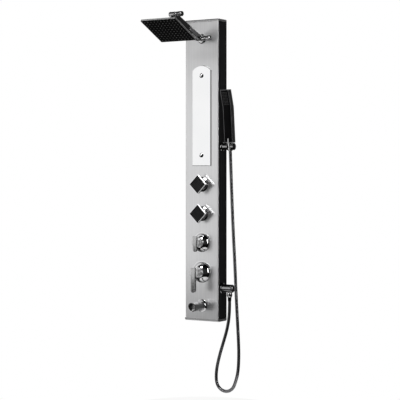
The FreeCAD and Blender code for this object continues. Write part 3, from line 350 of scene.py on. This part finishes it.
def hose_line():
    """The hose's centre line: one smooth spline through the route."""
    curve = bpy.data.curves.new("hose_line", "CURVE")
    curve.dimensions = "3D"
    spline = curve.splines.new("NURBS")
    spline.points.add(len(HOSE_ROUTE) - 1)
    for point, place in zip(spline.points, HOSE_ROUTE):
        point.co = (*place, 1)
    spline.order_u = 3
    spline.use_endpoint_u = True
    spline.resolution_u = 24
    line = bpy.data.objects.new("hose_line", curve)
    bpy.context.scene.collection.objects.link(line)
    return line


def points_along(line):
    """The line's own points, as its mesh has them."""
    bpy.context.view_layer.update()
    mesh = bpy.data.meshes.new_from_object(line.evaluated_get(bpy.context.evaluated_depsgraph_get()))
    points = [vertex.co.copy() for vertex in mesh.vertices]
    bpy.data.meshes.remove(mesh)
    return points


def rib():
    """One turn of the hose's metal strip: a flat crest, then the groove where the next turn hooks in."""
    bpy.ops.object.select_all(action="DESELECT")
    bpy.ops.mesh.primitive_circle_add(vertices=HOSE_SIDES, radius=HOSE_CREST, rotation=(0, math.pi / 2, 0))
    turn = bpy.context.active_object
    bpy.ops.object.transform_apply()
    edit(turn)
    bpy.ops.mesh.select_all(action="SELECT")
    here = HOSE_CREST
    for step, radius in ((0.66, HOSE_CREST), (0.10, HOSE_GROOVE), (0.14, HOSE_GROOVE), (0.10, HOSE_CREST)):
        bpy.ops.mesh.extrude_region_move(TRANSFORM_OT_translate={"value": (HOSE_PITCH * step, 0, 0)})
        share = radius / here
        bpy.ops.transform.resize(value=(1, share, share), center_override=(0, 0, 0))
        here = radius
    bpy.ops.mesh.select_all(action="SELECT")
    bpy.ops.mesh.flip_normals()
    leave_edit()
    return turn


def make_hose():
    """The hose, from the handset's cone down, round below the column and up to the side outlet."""
    line = hose_line()
    points = points_along(line)
    length = sum((b - a).length for a, b in zip(points, points[1:]))
    hose = rib()
    hose.name = "hose_run"
    row = hose.modifiers.new("turns", "ARRAY")
    row.count = round(length / HOSE_PITCH)
    row.use_relative_offset = False
    row.use_constant_offset = True
    row.constant_offset_displace = (length / row.count, 0, 0)
    row.use_merge_vertices = True
    row.merge_threshold = 0.0001
    pick(hose)
    bpy.ops.object.modifier_apply(modifier=row.name)
    edit(hose)
    bpy.ops.mesh.select_all(action="SELECT")
    bpy.ops.mesh.fill_holes(sides=0)
    leave_edit()
    # the crest mask: grooves get 0, and the hose's finish darkens them as painted shade
    crest = hose.data.attributes.new("crest", "FLOAT", "POINT")
    for vertex, value in zip(hose.data.vertices, crest.data):
        value.value = 1.0 if math.hypot(vertex.co.y, vertex.co.z) > HOSE_GROOVE + 0.0001 else 0.0
    bend = hose.modifiers.new("bend", "CURVE")
    bend.object = line
    bpy.ops.object.modifier_apply(modifier=bend.name)
    bpy.data.objects.remove(line)
    hose.data.materials.append(hose_steel())
    bpy.ops.object.shade_smooth_by_angle(angle=math.radians(30))
    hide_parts("shower_hose")
    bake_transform(hose)


make_hose()


# ---- the pieces of the CAD model that stay in view

FINISHES = {
    "brushed_stainless": brushed_stainless(),
    "black_profile": black_anodised(),
    "silver_cap": plated("silver moulding", 0.58, (0.26, 0.34)),
    "mirror_glass": mirror_finish(),
    "chrome": plated("polished chrome", 0.82),
    "satin_chrome": satin_chrome(),
    "black_rubber": moulded("nozzle rubber", 0.0015, 0.0030, (0.50, 0.62), grain_scale=500.0, gloss=0.12),
    "black_plastic": moulded(
        "gloss black",
        (0.0010, 0.0010, 0.0012),
        (0.0025, 0.0025, 0.0027),
        (0.12, 0.18),
        grain_scale=300.0,
        relief=0.00001,
        gloss=0.03,
    ),
    "plated_plastic": plated("plated plastic", 0.72, (0.10, 0.16)),
    "galvanised": zinc_plate(),
    "brass": cast_brass(),
    "white_tube": moulded("white tube", (0.74, 0.74, 0.72), (0.80, 0.80, 0.78), (0.40, 0.50)),
    "braid": braided_steel(),
}
HUB_CHROME = plated("hub chrome", 0.86, (0.22, 0.28), metallic=0.7)
# painted shade: the polished chrome again with a much darker base, so the holder, the outlet elbow, its rosette
# and the upper knob reflect darker
SHADE_DARKENED_CHROME = plated("chrome darkened as painted shade", 0.34, (0.10, 0.16))
WAND_GREY = plated("wand plating", 0.16, (0.30, 0.38))
NOZZLE_GREY = moulded("nozzle tips", 0.050, 0.075, (0.45, 0.60), grain_scale=500.0)
OWN_FINISH = {
    "rain_head_shell": plated("satin head", 0.80, (0.34, 0.40)),
    "holder_arm": SHADE_DARKENED_CHROME,
    "holder_cradle": SHADE_DARKENED_CHROME,
    "outlet_elbow": SHADE_DARKENED_CHROME,
    "outlet_rosette": SHADE_DARKENED_CHROME,
    # painted shade: the arm's chrome has a base a little darker than the polished chrome's
    "shower_arm": plated("arm chrome dimmed as painted shade", 0.70),
}


def dress_cad_nodes():
    """Gives every CAD piece its own finish, or else that of its slot in the record."""
    slots = {part["node"]: part["material_slot"] for part in frame["record"]["subparts"]}
    for name, node in NODES.items():
        finish = OWN_FINISH.get(name) or FINISHES.get(slots[name])
        if finish and node.type == "MESH":
            for place in node.material_slots:
                place.material = finish


dress_cad_nodes()


# ---- pieces made by hand

MM = 0.001
OUT_OF_WALL = Matrix.Rotation(math.radians(90), 4, "X")
OUT_TO_RIGHT = Matrix.Rotation(math.radians(90), 4, "Y")
FACE_DOWN = Matrix.Rotation(math.radians(180), 4, "X")
HEAD_TURN = Matrix.Rotation(math.radians(-25.5), 4, "X")
HAND_TURN = Matrix.Rotation(math.radians(5), 4, "X")
LOWER_PIVOT = Vector((0, -0.100, FOOT + 1.404))
UPPER_PIVOT = Vector((0, -0.337359, FOOT + 1.499899))
HEAD_BALL = Vector((0, -0.367495, FOOT + 1.436719))
HAND = Vector((0.143, SIDE_Y, FOOT + 0.867))  # middle of the handset's cone nut
OUTLET = Vector((0.140, SIDE_Y, FOOT + 0.122))  # foot of the outlet's swivel nut
UPPER_JET = 680  # heights above the foot, in millimetres
LOWER_JET = 534
DIVERTER = 391
MIXER = 244
NOZZLE_SIDES = 10
ROUND_SIDES = 72


def choose(piece, kind, test):
    """Opens the piece for editing with those vertices, edges or faces selected whose middle passes the test."""
    edit(piece, kind)
    bpy.ops.mesh.select_all(action="DESELECT")
    leave_edit()
    mesh = piece.data
    if kind == "FACE":
        for face in mesh.polygons:
            face.select = test(face.center)
    elif kind == "EDGE":
        for line in mesh.edges:
            start, end = (mesh.vertices[corner].co for corner in line.vertices)
            line.select = test((start + end) / 2)
    else:
        for corner in mesh.vertices:
            corner.select = test(corner.co)
    bpy.ops.object.mode_set(mode="EDIT")


def turned_piece(name, rings, sides=ROUND_SIDES):
    """A round piece drawn up along Z ring by ring; rings are (radius, height) in millimetres."""
    bpy.ops.object.select_all(action="DESELECT")
    radius, height = rings[0]
    bpy.ops.mesh.primitive_circle_add(vertices=sides, radius=radius * MM, location=(0, 0, height * MM))
    piece = bpy.context.active_object
    piece.name = name
    bpy.ops.object.transform_apply()
    edit(piece)
    bpy.ops.mesh.select_all(action="SELECT")
    for wide, high in rings[1:]:
        bpy.ops.mesh.extrude_region_move(TRANSFORM_OT_translate={"value": (0, 0, (high - height) * MM)})
        if wide != radius:
            share = wide / radius
            bpy.ops.transform.resize(value=(share, share, 1), center_override=(0, 0, 0))
        radius, height = wide, high
    close_up(piece)
    return piece


def close_up(piece):
    """Joins what meets, fills the open ends and turns every face outwards."""
    edit(piece)
    bpy.ops.mesh.select_all(action="SELECT")
    bpy.ops.mesh.remove_doubles(threshold=0.000002)
    bpy.ops.mesh.fill_holes(sides=0)
    bpy.ops.mesh.normals_make_consistent(inside=False)
    leave_edit()


def flat_blank(name, width, length):
    """A flat rectangle on the bench, in millimetres, ready for its corners to be cut."""
    bpy.ops.object.select_all(action="DESELECT")
    bpy.ops.mesh.primitive_plane_add(size=1)
    piece = bpy.context.active_object
    piece.name = name
    piece.scale = (width * MM, length * MM, 1)
    bpy.ops.object.transform_apply()
    return piece


def round_corners(piece, test, radius, segments=6):
    """Rounds the flat blank's corners that pass the test."""
    choose(piece, "VERT", test)
    bpy.ops.mesh.bevel(offset=radius * MM, segments=segments, affect="VERTICES")
    leave_edit()


def raise_by(piece, *steps):
    """Draws the blank up through each step, (x, y, z) in millimetres, and closes its foot."""
    edit(piece, "FACE")
    bpy.ops.mesh.select_all(action="SELECT")
    for step in steps:
        bpy.ops.mesh.extrude_region_move(TRANSFORM_OT_translate={"value": [size * MM for size in step]})
    close_up(piece)


def soften(piece, test, radius, segments=3):
    """Rounds the edges whose middle passes the test."""
    choose(piece, "EDGE", test)
    bpy.ops.mesh.bevel(offset=radius * MM, segments=segments, affect="EDGES")
    leave_edit()


def step_in(size, inward, drop=0.0):
    """Draws the selected square face, of this size, inwards all round and down; returns its new size."""
    bpy.ops.mesh.extrude_region_move(TRANSFORM_OT_translate={"value": (0, 0, -drop * MM)})
    share = (size - 2 * inward) / size
    bpy.ops.transform.resize(value=(share, share, 1), center_override=(0, 0, 0))
    return size - 2 * inward


def knurl(piece, low, high, depth, step=5):
    """Cuts every second strip of a round band back, as a straight knurl."""

    def strip(middle):
        angle = math.degrees(math.atan2(middle.y, middle.x)) % 360
        return low * MM < middle.z < high * MM and int(angle // step) % 2 == 0

    choose(piece, "FACE", strip)
    bpy.ops.mesh.extrude_region_shrink_fatten(TRANSFORM_OT_shrink_fatten={"value": -depth * MM})
    leave_edit()


def nozzle_field(name, radius, height, columns, rows, pitch, lift=0.0):
    """Rubber nozzles: one is turned up, then set out in columns and rows about the middle."""
    rings = [
        (radius * 1.4, lift - 0.2),
        (radius * 1.4, lift + height * 0.2),
        (radius, lift + height * 0.35),
        (radius * 0.78, lift + height),
        (radius * 0.36, lift + height),
        (radius * 0.30, lift + height * 0.4),
    ]
    field = turned_piece(name, rings, NOZZLE_SIDES)
    field.location = (-(columns - 1) / 2 * pitch * MM, -(rows - 1) / 2 * pitch * MM, 0)
    pick(field)
    bpy.ops.object.transform_apply()
    for count, way in ((columns, (pitch * MM, 0, 0)), (rows, (0, pitch * MM, 0))):
        line = field.modifiers.new("line", "ARRAY")
        line.count = count
        line.use_relative_offset = False
        line.use_constant_offset = True
        line.constant_offset_displace = way
        bpy.ops.object.modifier_apply(modifier=line.name)
    return field


def set_down(piece, place, turn):
    """Moves the piece from the bench to its place on the column, fixed in its mesh."""
    pick(piece)
    piece.matrix_world = Matrix.Translation(place) @ turn
    bpy.ops.object.transform_apply()


def hand_over(piece, body, slot, *nodes, finish=None, smooth=32):
    """Gives the piece its finish, the body that it rides on and the CAD pieces that it stands for."""
    pick(piece)
    bpy.ops.object.shade_smooth_by_angle(angle=math.radians(smooth))
    piece.data.materials.clear()
    piece.data.materials.append(finish or FINISHES[slot])
    if nodes:
        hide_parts(*nodes)
    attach(piece, body)


def front_spot(height, ahead=0.0):
    """A spot on the column's front, by its height above the foot and its distance out, in millimetres."""
    return Vector((0, FRONT_Y - ahead * MM, FOOT + height * MM))


def rain_head_face():
    """Black nozzle plate with a fine border line and ten rows of ten nozzles."""
    side, thick, edge = 196, 5, 0.8
    plate = flat_blank("head_nozzle_plate", side, side)
    round_corners(plate, lambda spot: True, 2)
    raise_by(plate, (0, 0, thick))
    soften(plate, lambda spot: spot.z > (thick - 0.1) * MM, edge)
    choose(plate, "FACE", lambda spot: spot.z > (thick - 0.05) * MM and spot.xy.length < MM)
    size = step_in(side - 2 * edge, 5)
    size = step_in(size, 0.7, 0.5)
    step_in(size, 0.7, -0.5)
    leave_edit()
    nozzles = nozzle_field("head_nozzles", 2.3, 1.6, 10, 10, 18.6, lift=thick)
    for piece in (plate, nozzles):
        set_down(piece, HEAD_BALL + HEAD_TURN @ Vector((0, 0, -17 * MM)), HEAD_TURN @ FACE_DOWN)
    hand_over(plate, "rain_head", "black_rubber", "rain_head_face")
    hand_over(nozzles, "rain_head", "black_rubber", finish=NOZZLE_GREY)


def jet_pad(name, height):
    """Rubber pad of a body jet: a raised border round seven rows of seven fine nozzles, set on its corner."""
    side, thick, edge, drop = 64, 6, 0.8, 0.6
    pad = flat_blank(f"{name}_nozzle_pad", side, side)
    round_corners(pad, lambda spot: True, 2)
    raise_by(pad, (0, 0, thick))
    soften(pad, lambda spot: spot.z > (thick - 0.1) * MM, edge)
    choose(pad, "FACE", lambda spot: spot.z > (thick - 0.05) * MM and spot.xy.length < MM)
    size = step_in(side - 2 * edge, 2.6)
    step_in(size, 0.5, drop)
    leave_edit()
    nozzles = nozzle_field(f"{name}_nozzles", 1.25, 1.1, 7, 7, 8.0, lift=thick - drop)
    turn = OUT_OF_WALL @ Matrix.Rotation(math.radians(45), 4, "Z")
    for piece in (pad, nozzles):
        set_down(piece, front_spot(height, 36), turn)
    hand_over(pad, name, "black_rubber", f"{name}_pad")
    hand_over(nozzles, name, "black_rubber", finish=NOZZLE_GREY)


def valve_handle(name, height, start, reach, hub, width, length, rise, stem):
    """Round hub, of this radius, with one groove, and a flat plate with a round foot across its front.
    The hub runs from start to its plate, whose front is at reach, both out from the sheet."""
    thick = 9
    back = reach - thick
    groove = back - 8
    rings = [
        (stem, -28),
        (stem, start),
        (hub - 1.6, start),
        (hub - 0.5, start + 0.4),
        (hub, start + 1.5),
        (hub, groove - 1.7),
        (hub - 0.3, groove - 1.2),
        (hub - 1.2, groove - 0.5),
        (hub - 1.2, groove + 0.5),
        (hub - 0.3, groove + 1.2),
        (hub, groove + 1.7),
        (hub, back - 1),
        (hub - 0.4, back + 0.4),
        (hub - 4, back + 3),
    ]
    barrel = turned_piece(f"{name}_hub", rings, 96)
    plate = flat_blank(f"{name}_plate", width, length)
    round_corners(plate, lambda spot: spot.y < 0, width / 2 - 0.05, 14)
    round_corners(plate, lambda spot: spot.y > (length / 2 - 0.1) * MM, 3, 5)
    raise_by(plate, (0, 0, thick))
    soften(plate, lambda spot: spot.z > (thick - 0.1) * MM, 2, 4)
    soften(plate, lambda spot: spot.z < 0.1 * MM, 0.6, 2)
    set_down(barrel, front_spot(height), OUT_OF_WALL)
    set_down(plate, front_spot(height, back) + Vector((0, 0, (rise - length / 2) * MM)), OUT_OF_WALL)
    hand_over(barrel, name, "satin_chrome", f"{name}_handle", finish=HUB_CHROME)
    hand_over(plate, name, "satin_chrome", f"{name}_handle")


def clamp_knob(name, place, length, finish=None):
    """Barrel nut of a clamp knuckle: necked shank, then a knurled grip with a domed end."""
    start = 13.2
    end = 13 + length
    rings = [
        (6.05, end - 7),
        (6.05, start),
        (10.3, start),
        (11.2, start + 0.4),
        (11.5, start + 1.2),
        (11.5, end - 32),
        (11.2, end - 31.2),
        (10, end - 30),
        (10, end - 28),
        (11.6, end - 26.6),
        (12.4, end - 26),
        (12.4, end - 4.6),
        (12.0, end - 3),
        (10.8, end - 1.2),
        (9, end - 0.3),
        (7.6, end),
    ]
    knob = turned_piece(name, rings)
    knurl(knob, end - 25.9, end - 5, 0.7)
    set_down(knob, place, OUT_TO_RIGHT)
    hand_over(knob, name.replace("_clamp", ""), "chrome", name, finish=finish)
    knob.name = f"{name}_turned"


def outlet_nut():
    """Knurled swivel nut on the hose's lower end."""
    rings = [
        (8.2, 0),
        (9.6, 0),
        (10.4, 0.6),
        (13.2, 5.4),
        (13.5, 6.2),
        (13.5, 16.8),
        (13.2, 17.6),
        (12.2, 21),
        (11.6, 22),
        (10, 22),
        (10, 5.5),
        (8.2, 5.5),
        (8.2, 0),
    ]
    nut = turned_piece("outlet_swivel_nut", rings)
    knurl(nut, 6.3, 16.7, 0.6)
    set_down(nut, OUTLET, Matrix.Identity(4))
    hand_over(nut, "column", "chrome", "outlet_nut")


def hose_cone():
    """Tapered nut of the hose, with its grip flutes, and the length of hose that comes out with it."""
    rings = [(8.2, 13), (8.2, -21), (11, -21), (11.5, -20.4), (13.4, 16.4), (13.1, 17)]
    cone = turned_piece("hose_cone_nut", rings)
    knurl(cone, -20, 16, 0.35, 10)
    set_down(cone, HAND, HAND_TURN)
    hand_over(cone, "handset", "chrome", "hose_cone")
    tail = turned_piece("hose_in_cone", [(7.2, -70), (7.2, 12)], 32)
    soften(tail, lambda spot: spot.z < -69.9 * MM, 1.2, 2)
    set_down(tail, HAND, HAND_TURN)
    hand_over(tail, "handset", "hose_metal", finish=FINISHES["plated_plastic"])


def handset():
    """Flat wand whose head leans into the room, its black cover with spray nozzles, and the silver neck."""
    lean = math.radians(12.5)
    grip, head = 176, 90  # the wand's lengths below and above its bend
    rise, shift = head * math.cos(lean), head * math.sin(lean)
    wand = flat_blank("handset_wand", 50, 28)
    round_corners(wand, lambda spot: True, 3.2, 6)
    raise_by(wand, (0, 0, grip), (0, -shift, rise))
    soften(wand, lambda spot: spot.z < 0.1 * MM or spot.z > (grip - 0.1 + rise) * MM, 1.6, 4)
    set_down(wand, HAND + HAND_TURN @ Vector((0, 0, 19 * MM)), HAND_TURN)
    hand_over(wand, "handset", "plated_plastic", "handset_shell", finish=WAND_GREY, smooth=25)
    margin = 4  # the cover starts this far above the wand's foot and ends this far below its top
    share = (head - margin) / head
    cover = flat_blank("handset_cover", 41, 4.2)
    round_corners(cover, lambda spot: spot.y < 0, 1.6, 4)
    raise_by(cover, (0, 0, grip - margin), (0, -shift * share, rise * share))
    top = grip - margin + rise * share
    soften(cover, lambda spot: spot.z < 0.1 * MM or spot.z > (top - 0.1) * MM, 0.8, 3)
    set_down(cover, HAND + HAND_TURN @ Vector((0, -13.1 * MM, 23 * MM)), HAND_TURN)
    hand_over(cover, "handset", "black_plastic", "handset_face", smooth=25)
    nozzles = nozzle_field("handset_nozzles", 1.3, 1.1, 4, 9, 7.6)
    middle = Vector((0, (-15.2 - shift / 2) * MM, (19 + grip + rise / 2) * MM))
    set_down(nozzles, HAND + HAND_TURN @ middle, HAND_TURN @ Matrix.Rotation(math.radians(102.5), 4, "X"))
    hand_over(nozzles, "handset", "black_rubber", finish=NOZZLE_GREY)
    rings = [
        (8, 0),
        (8, 1.6),
        (7.7, 7),
        (7.1, 18),
        (6.6, 21.5),
        (5.6, 25),
        (4.2, 27.8),
        (2.4, 29.6),
        (0.8, 30.3),
    ]
    neck = turned_piece("handset_bullet", rings, 64)
    set_down(neck, HAND + HAND_TURN @ Vector((0, -9 * MM, 19 * MM)), HAND_TURN)
    hand_over(neck, "handset", "chrome", "handset_neck")
    collar = turned_piece("handset_collar", [(8, 0), (8, 12)], 64)
    soften(collar, lambda spot: spot.z > 11.9 * MM, 0.6, 2)
    set_down(collar, HAND + HAND_TURN @ Vector((0, 0, 17 * MM)), HAND_TURN)
    hand_over(collar, "handset", "chrome", "handset_neck")


rain_head_face()
jet_pad("upper_jet", UPPER_JET)
jet_pad("lower_jet", LOWER_JET)
valve_handle("diverter", DIVERTER, start=25, reach=67, hub=22, width=24, length=76, rise=32, stem=5)
valve_handle("mixer", MIXER, start=28, reach=83, hub=26, width=28, length=122, rise=24, stem=6)
clamp_knob("lower_clamp_knob", LOWER_PIVOT, 58)
# the upper knob takes the chrome darkened as painted shade; the lower one keeps the polished chrome
clamp_knob("upper_clamp_knob", UPPER_PIVOT, 45, SHADE_DARKENED_CHROME)
outlet_nut()
hose_cone()
handset()


# ---- studio

FLOOR_MIDDLE = (0.06, -0.18, -1.74)
FLOOR_RADIUS = 0.48
FLOOR_GLOW = 0.85  # the share of the floor that the camera sees as plain white
ROOM_GREY = 0.42  # light of the room on everything that isn't a mirror
FRONT_LEFT = (-0.80, -0.55, 0.20)
BEHIND = (-0.40, 0.92, 0.0)
# Brightness that polished metal mirrors: by how near a direction is to each wall's middle, and by its height.
WALL_GLOW = [(0.0, 0.02), (0.70, 0.03), (0.77, 0.16), (0.90, 0.24), (1.0, 0.28)]
BACK_GLOW = [(0.0, 0.0), (0.78, 0.0), (0.86, 0.30), (1.0, 0.42)]
LEVEL_GLOW = [(0.0, 0.05), (0.28, 0.10), (0.36, 0.85), (0.50, 1.0), (0.70, 0.95), (0.80, 0.12), (1.0, 0.05)]


def studio_floor():
    """A small pale round floor under the hanging column."""
    bpy.ops.mesh.primitive_circle_add(
        vertices=96, radius=FLOOR_RADIUS, fill_type="NGON", location=FLOOR_MIDDLE
    )
    floor = bpy.context.active_object
    floor.name = "studio_floor"
    material, shader, place = new_finish("studio floor")
    nodes, links = material.node_tree.nodes, material.node_tree.links
    mottle = noise(material, place, 3.0)
    links.new(ramp(material, mottle.outputs["Fac"], [(0.3, 0.83), (0.7, 0.86)]), shader.inputs["Base Color"])
    shader.inputs["Roughness"].default_value = 0.7
    rays = nodes.new("ShaderNodeLightPath")
    glow = nodes.new("ShaderNodeEmission")
    glow.inputs["Color"].default_value = (1, 1, 1, 1)
    blend = nodes.new("ShaderNodeMixShader")
    share = nodes.new("ShaderNodeMath")
    share.operation = "MULTIPLY"
    share.inputs[1].default_value = FLOOR_GLOW
    links.new(rays.outputs["Is Camera Ray"], share.inputs[0])
    links.new(share.outputs[0], blend.inputs["Fac"])
    links.new(shader.outputs["BSDF"], blend.inputs[1])
    links.new(glow.outputs["Emission"], blend.inputs[2])
    output = [node for node in nodes if node.type == "OUTPUT_MATERIAL"][0]
    links.new(blend.outputs["Shader"], output.inputs["Surface"])
    floor.data.materials.append(material)


def backdrop(nodes, grey):
    """A plain world background of one grey."""
    background = nodes.new("ShaderNodeBackground")
    background.inputs["Color"].default_value = (grey, grey, grey, 1)
    return background.outputs["Background"]


def mixed(world, kind, one, other):
    """Two brightnesses of the world's, added or multiplied."""
    nodes, links = world.node_tree.nodes, world.node_tree.links
    blend = nodes.new("ShaderNodeMix")
    blend.data_type = "RGBA"
    blend.blend_type = kind
    blend.inputs["Factor"].default_value = 1.0
    links.new(one, blend.inputs["A"])
    links.new(other, blend.inputs["B"])
    return blend.outputs["Result"]


def studio_world():
    """White behind everything; polished metal sees bright walls left and behind, and a dim room elsewhere."""
    world = bpy.data.worlds.new("studio")
    bpy.context.scene.world = world
    world.use_nodes = True
    nodes, links = world.node_tree.nodes, world.node_tree.links
    nodes.clear()
    output = nodes.new("ShaderNodeOutputWorld")
    rays = nodes.new("ShaderNodeLightPath")
    place = nodes.new("ShaderNodeTexCoord")
    glows = []
    for way, stops in ((FRONT_LEFT, WALL_GLOW), (BEHIND, BACK_GLOW)):
        toward = nodes.new("ShaderNodeVectorMath")
        toward.operation = "DOT_PRODUCT"
        toward.inputs[1].default_value = Vector(way).normalized()
        links.new(place.outputs["Generated"], toward.inputs[0])
        facing = nodes.new("ShaderNodeMapRange")
        facing.inputs["From Min"].default_value = -1
        links.new(toward.outputs["Value"], facing.inputs["Value"])
        glows.append(ramp(world, facing.outputs["Result"], stops))
    parts = nodes.new("ShaderNodeSeparateXYZ")
    links.new(place.outputs["Generated"], parts.inputs["Vector"])
    height = nodes.new("ShaderNodeMapRange")
    height.inputs["From Min"].default_value = -1
    links.new(parts.outputs["Z"], height.inputs["Value"])
    level = ramp(world, height.outputs["Result"], LEVEL_GLOW)
    room = nodes.new("ShaderNodeBackground")
    links.new(mixed(world, "MULTIPLY", mixed(world, "ADD", *glows), level), room.inputs["Color"])
    reflected = nodes.new("ShaderNodeMixShader")
    links.new(rays.outputs["Is Glossy Ray"], reflected.inputs["Fac"])
    links.new(backdrop(nodes, ROOM_GREY), reflected.inputs[1])
    links.new(room.outputs["Background"], reflected.inputs[2])
    seen = nodes.new("ShaderNodeMath")
    seen.operation = "MAXIMUM"
    links.new(rays.outputs["Is Camera Ray"], seen.inputs[0])
    links.new(rays.outputs["Is Transmission Ray"], seen.inputs[1])
    final = nodes.new("ShaderNodeMixShader")
    links.new(seen.outputs[0], final.inputs["Fac"])
    links.new(reflected.outputs["Shader"], final.inputs[1])
    links.new(backdrop(nodes, 1.0), final.inputs[2])
    links.new(final.outputs["Shader"], output.inputs["Surface"])


def softbox(name, place, aim, width, height, power, mirrored=True):
    """A soft rectangular lamp that points at a spot; a fill isn't mirrored in the metal."""
    lamp = bpy.data.lights.new(name, "AREA")
    lamp.shape = "RECTANGLE"
    lamp.size = width
    lamp.size_y = height
    lamp.energy = power
    holder = bpy.data.objects.new(name, lamp)
    bpy.context.scene.collection.objects.link(holder)
    holder.location = place
    way = Vector(aim) - Vector(place)
    holder.rotation_euler = way.to_track_quat("-Z", "Y").to_euler()
    holder.visible_camera = False
    holder.visible_glossy = mirrored


def studio_lights():
    """One softbox on the left makes the sheet bright; the others fill, or put a highlight on the fittings."""
    softbox("left_softbox", (-1.40, -1.65, -0.60), (0, 0, -0.60), 1.5, 1.6, 5.2)
    softbox("front_fill", (1.0, -2.6, 0.3), (0, 0, -0.6), 1.6, 1.6, 24, mirrored=False)
    softbox("right_slit", (2.2, -0.75, -0.4), (0.1, 0, -0.6), 0.12, 1.8, 7)
    softbox("far_left_softbox", (-2.00, -0.40, 0.70), (0, 0, -0.8), 1.4, 2.6, 8)
    softbox("upper_front_softbox", (-0.30, -2.40, 1.00), (0, 0, -0.6), 0.9, 0.7, 20)
    softbox("top_softbox", (-0.5, -0.9, 2.4), (0, 0, -0.4), 1.4, 1.0, 16, mirrored=False)


studio_floor()
studio_world()
studio_lights()
bpy.context.scene.view_settings.view_transform = "Standard"
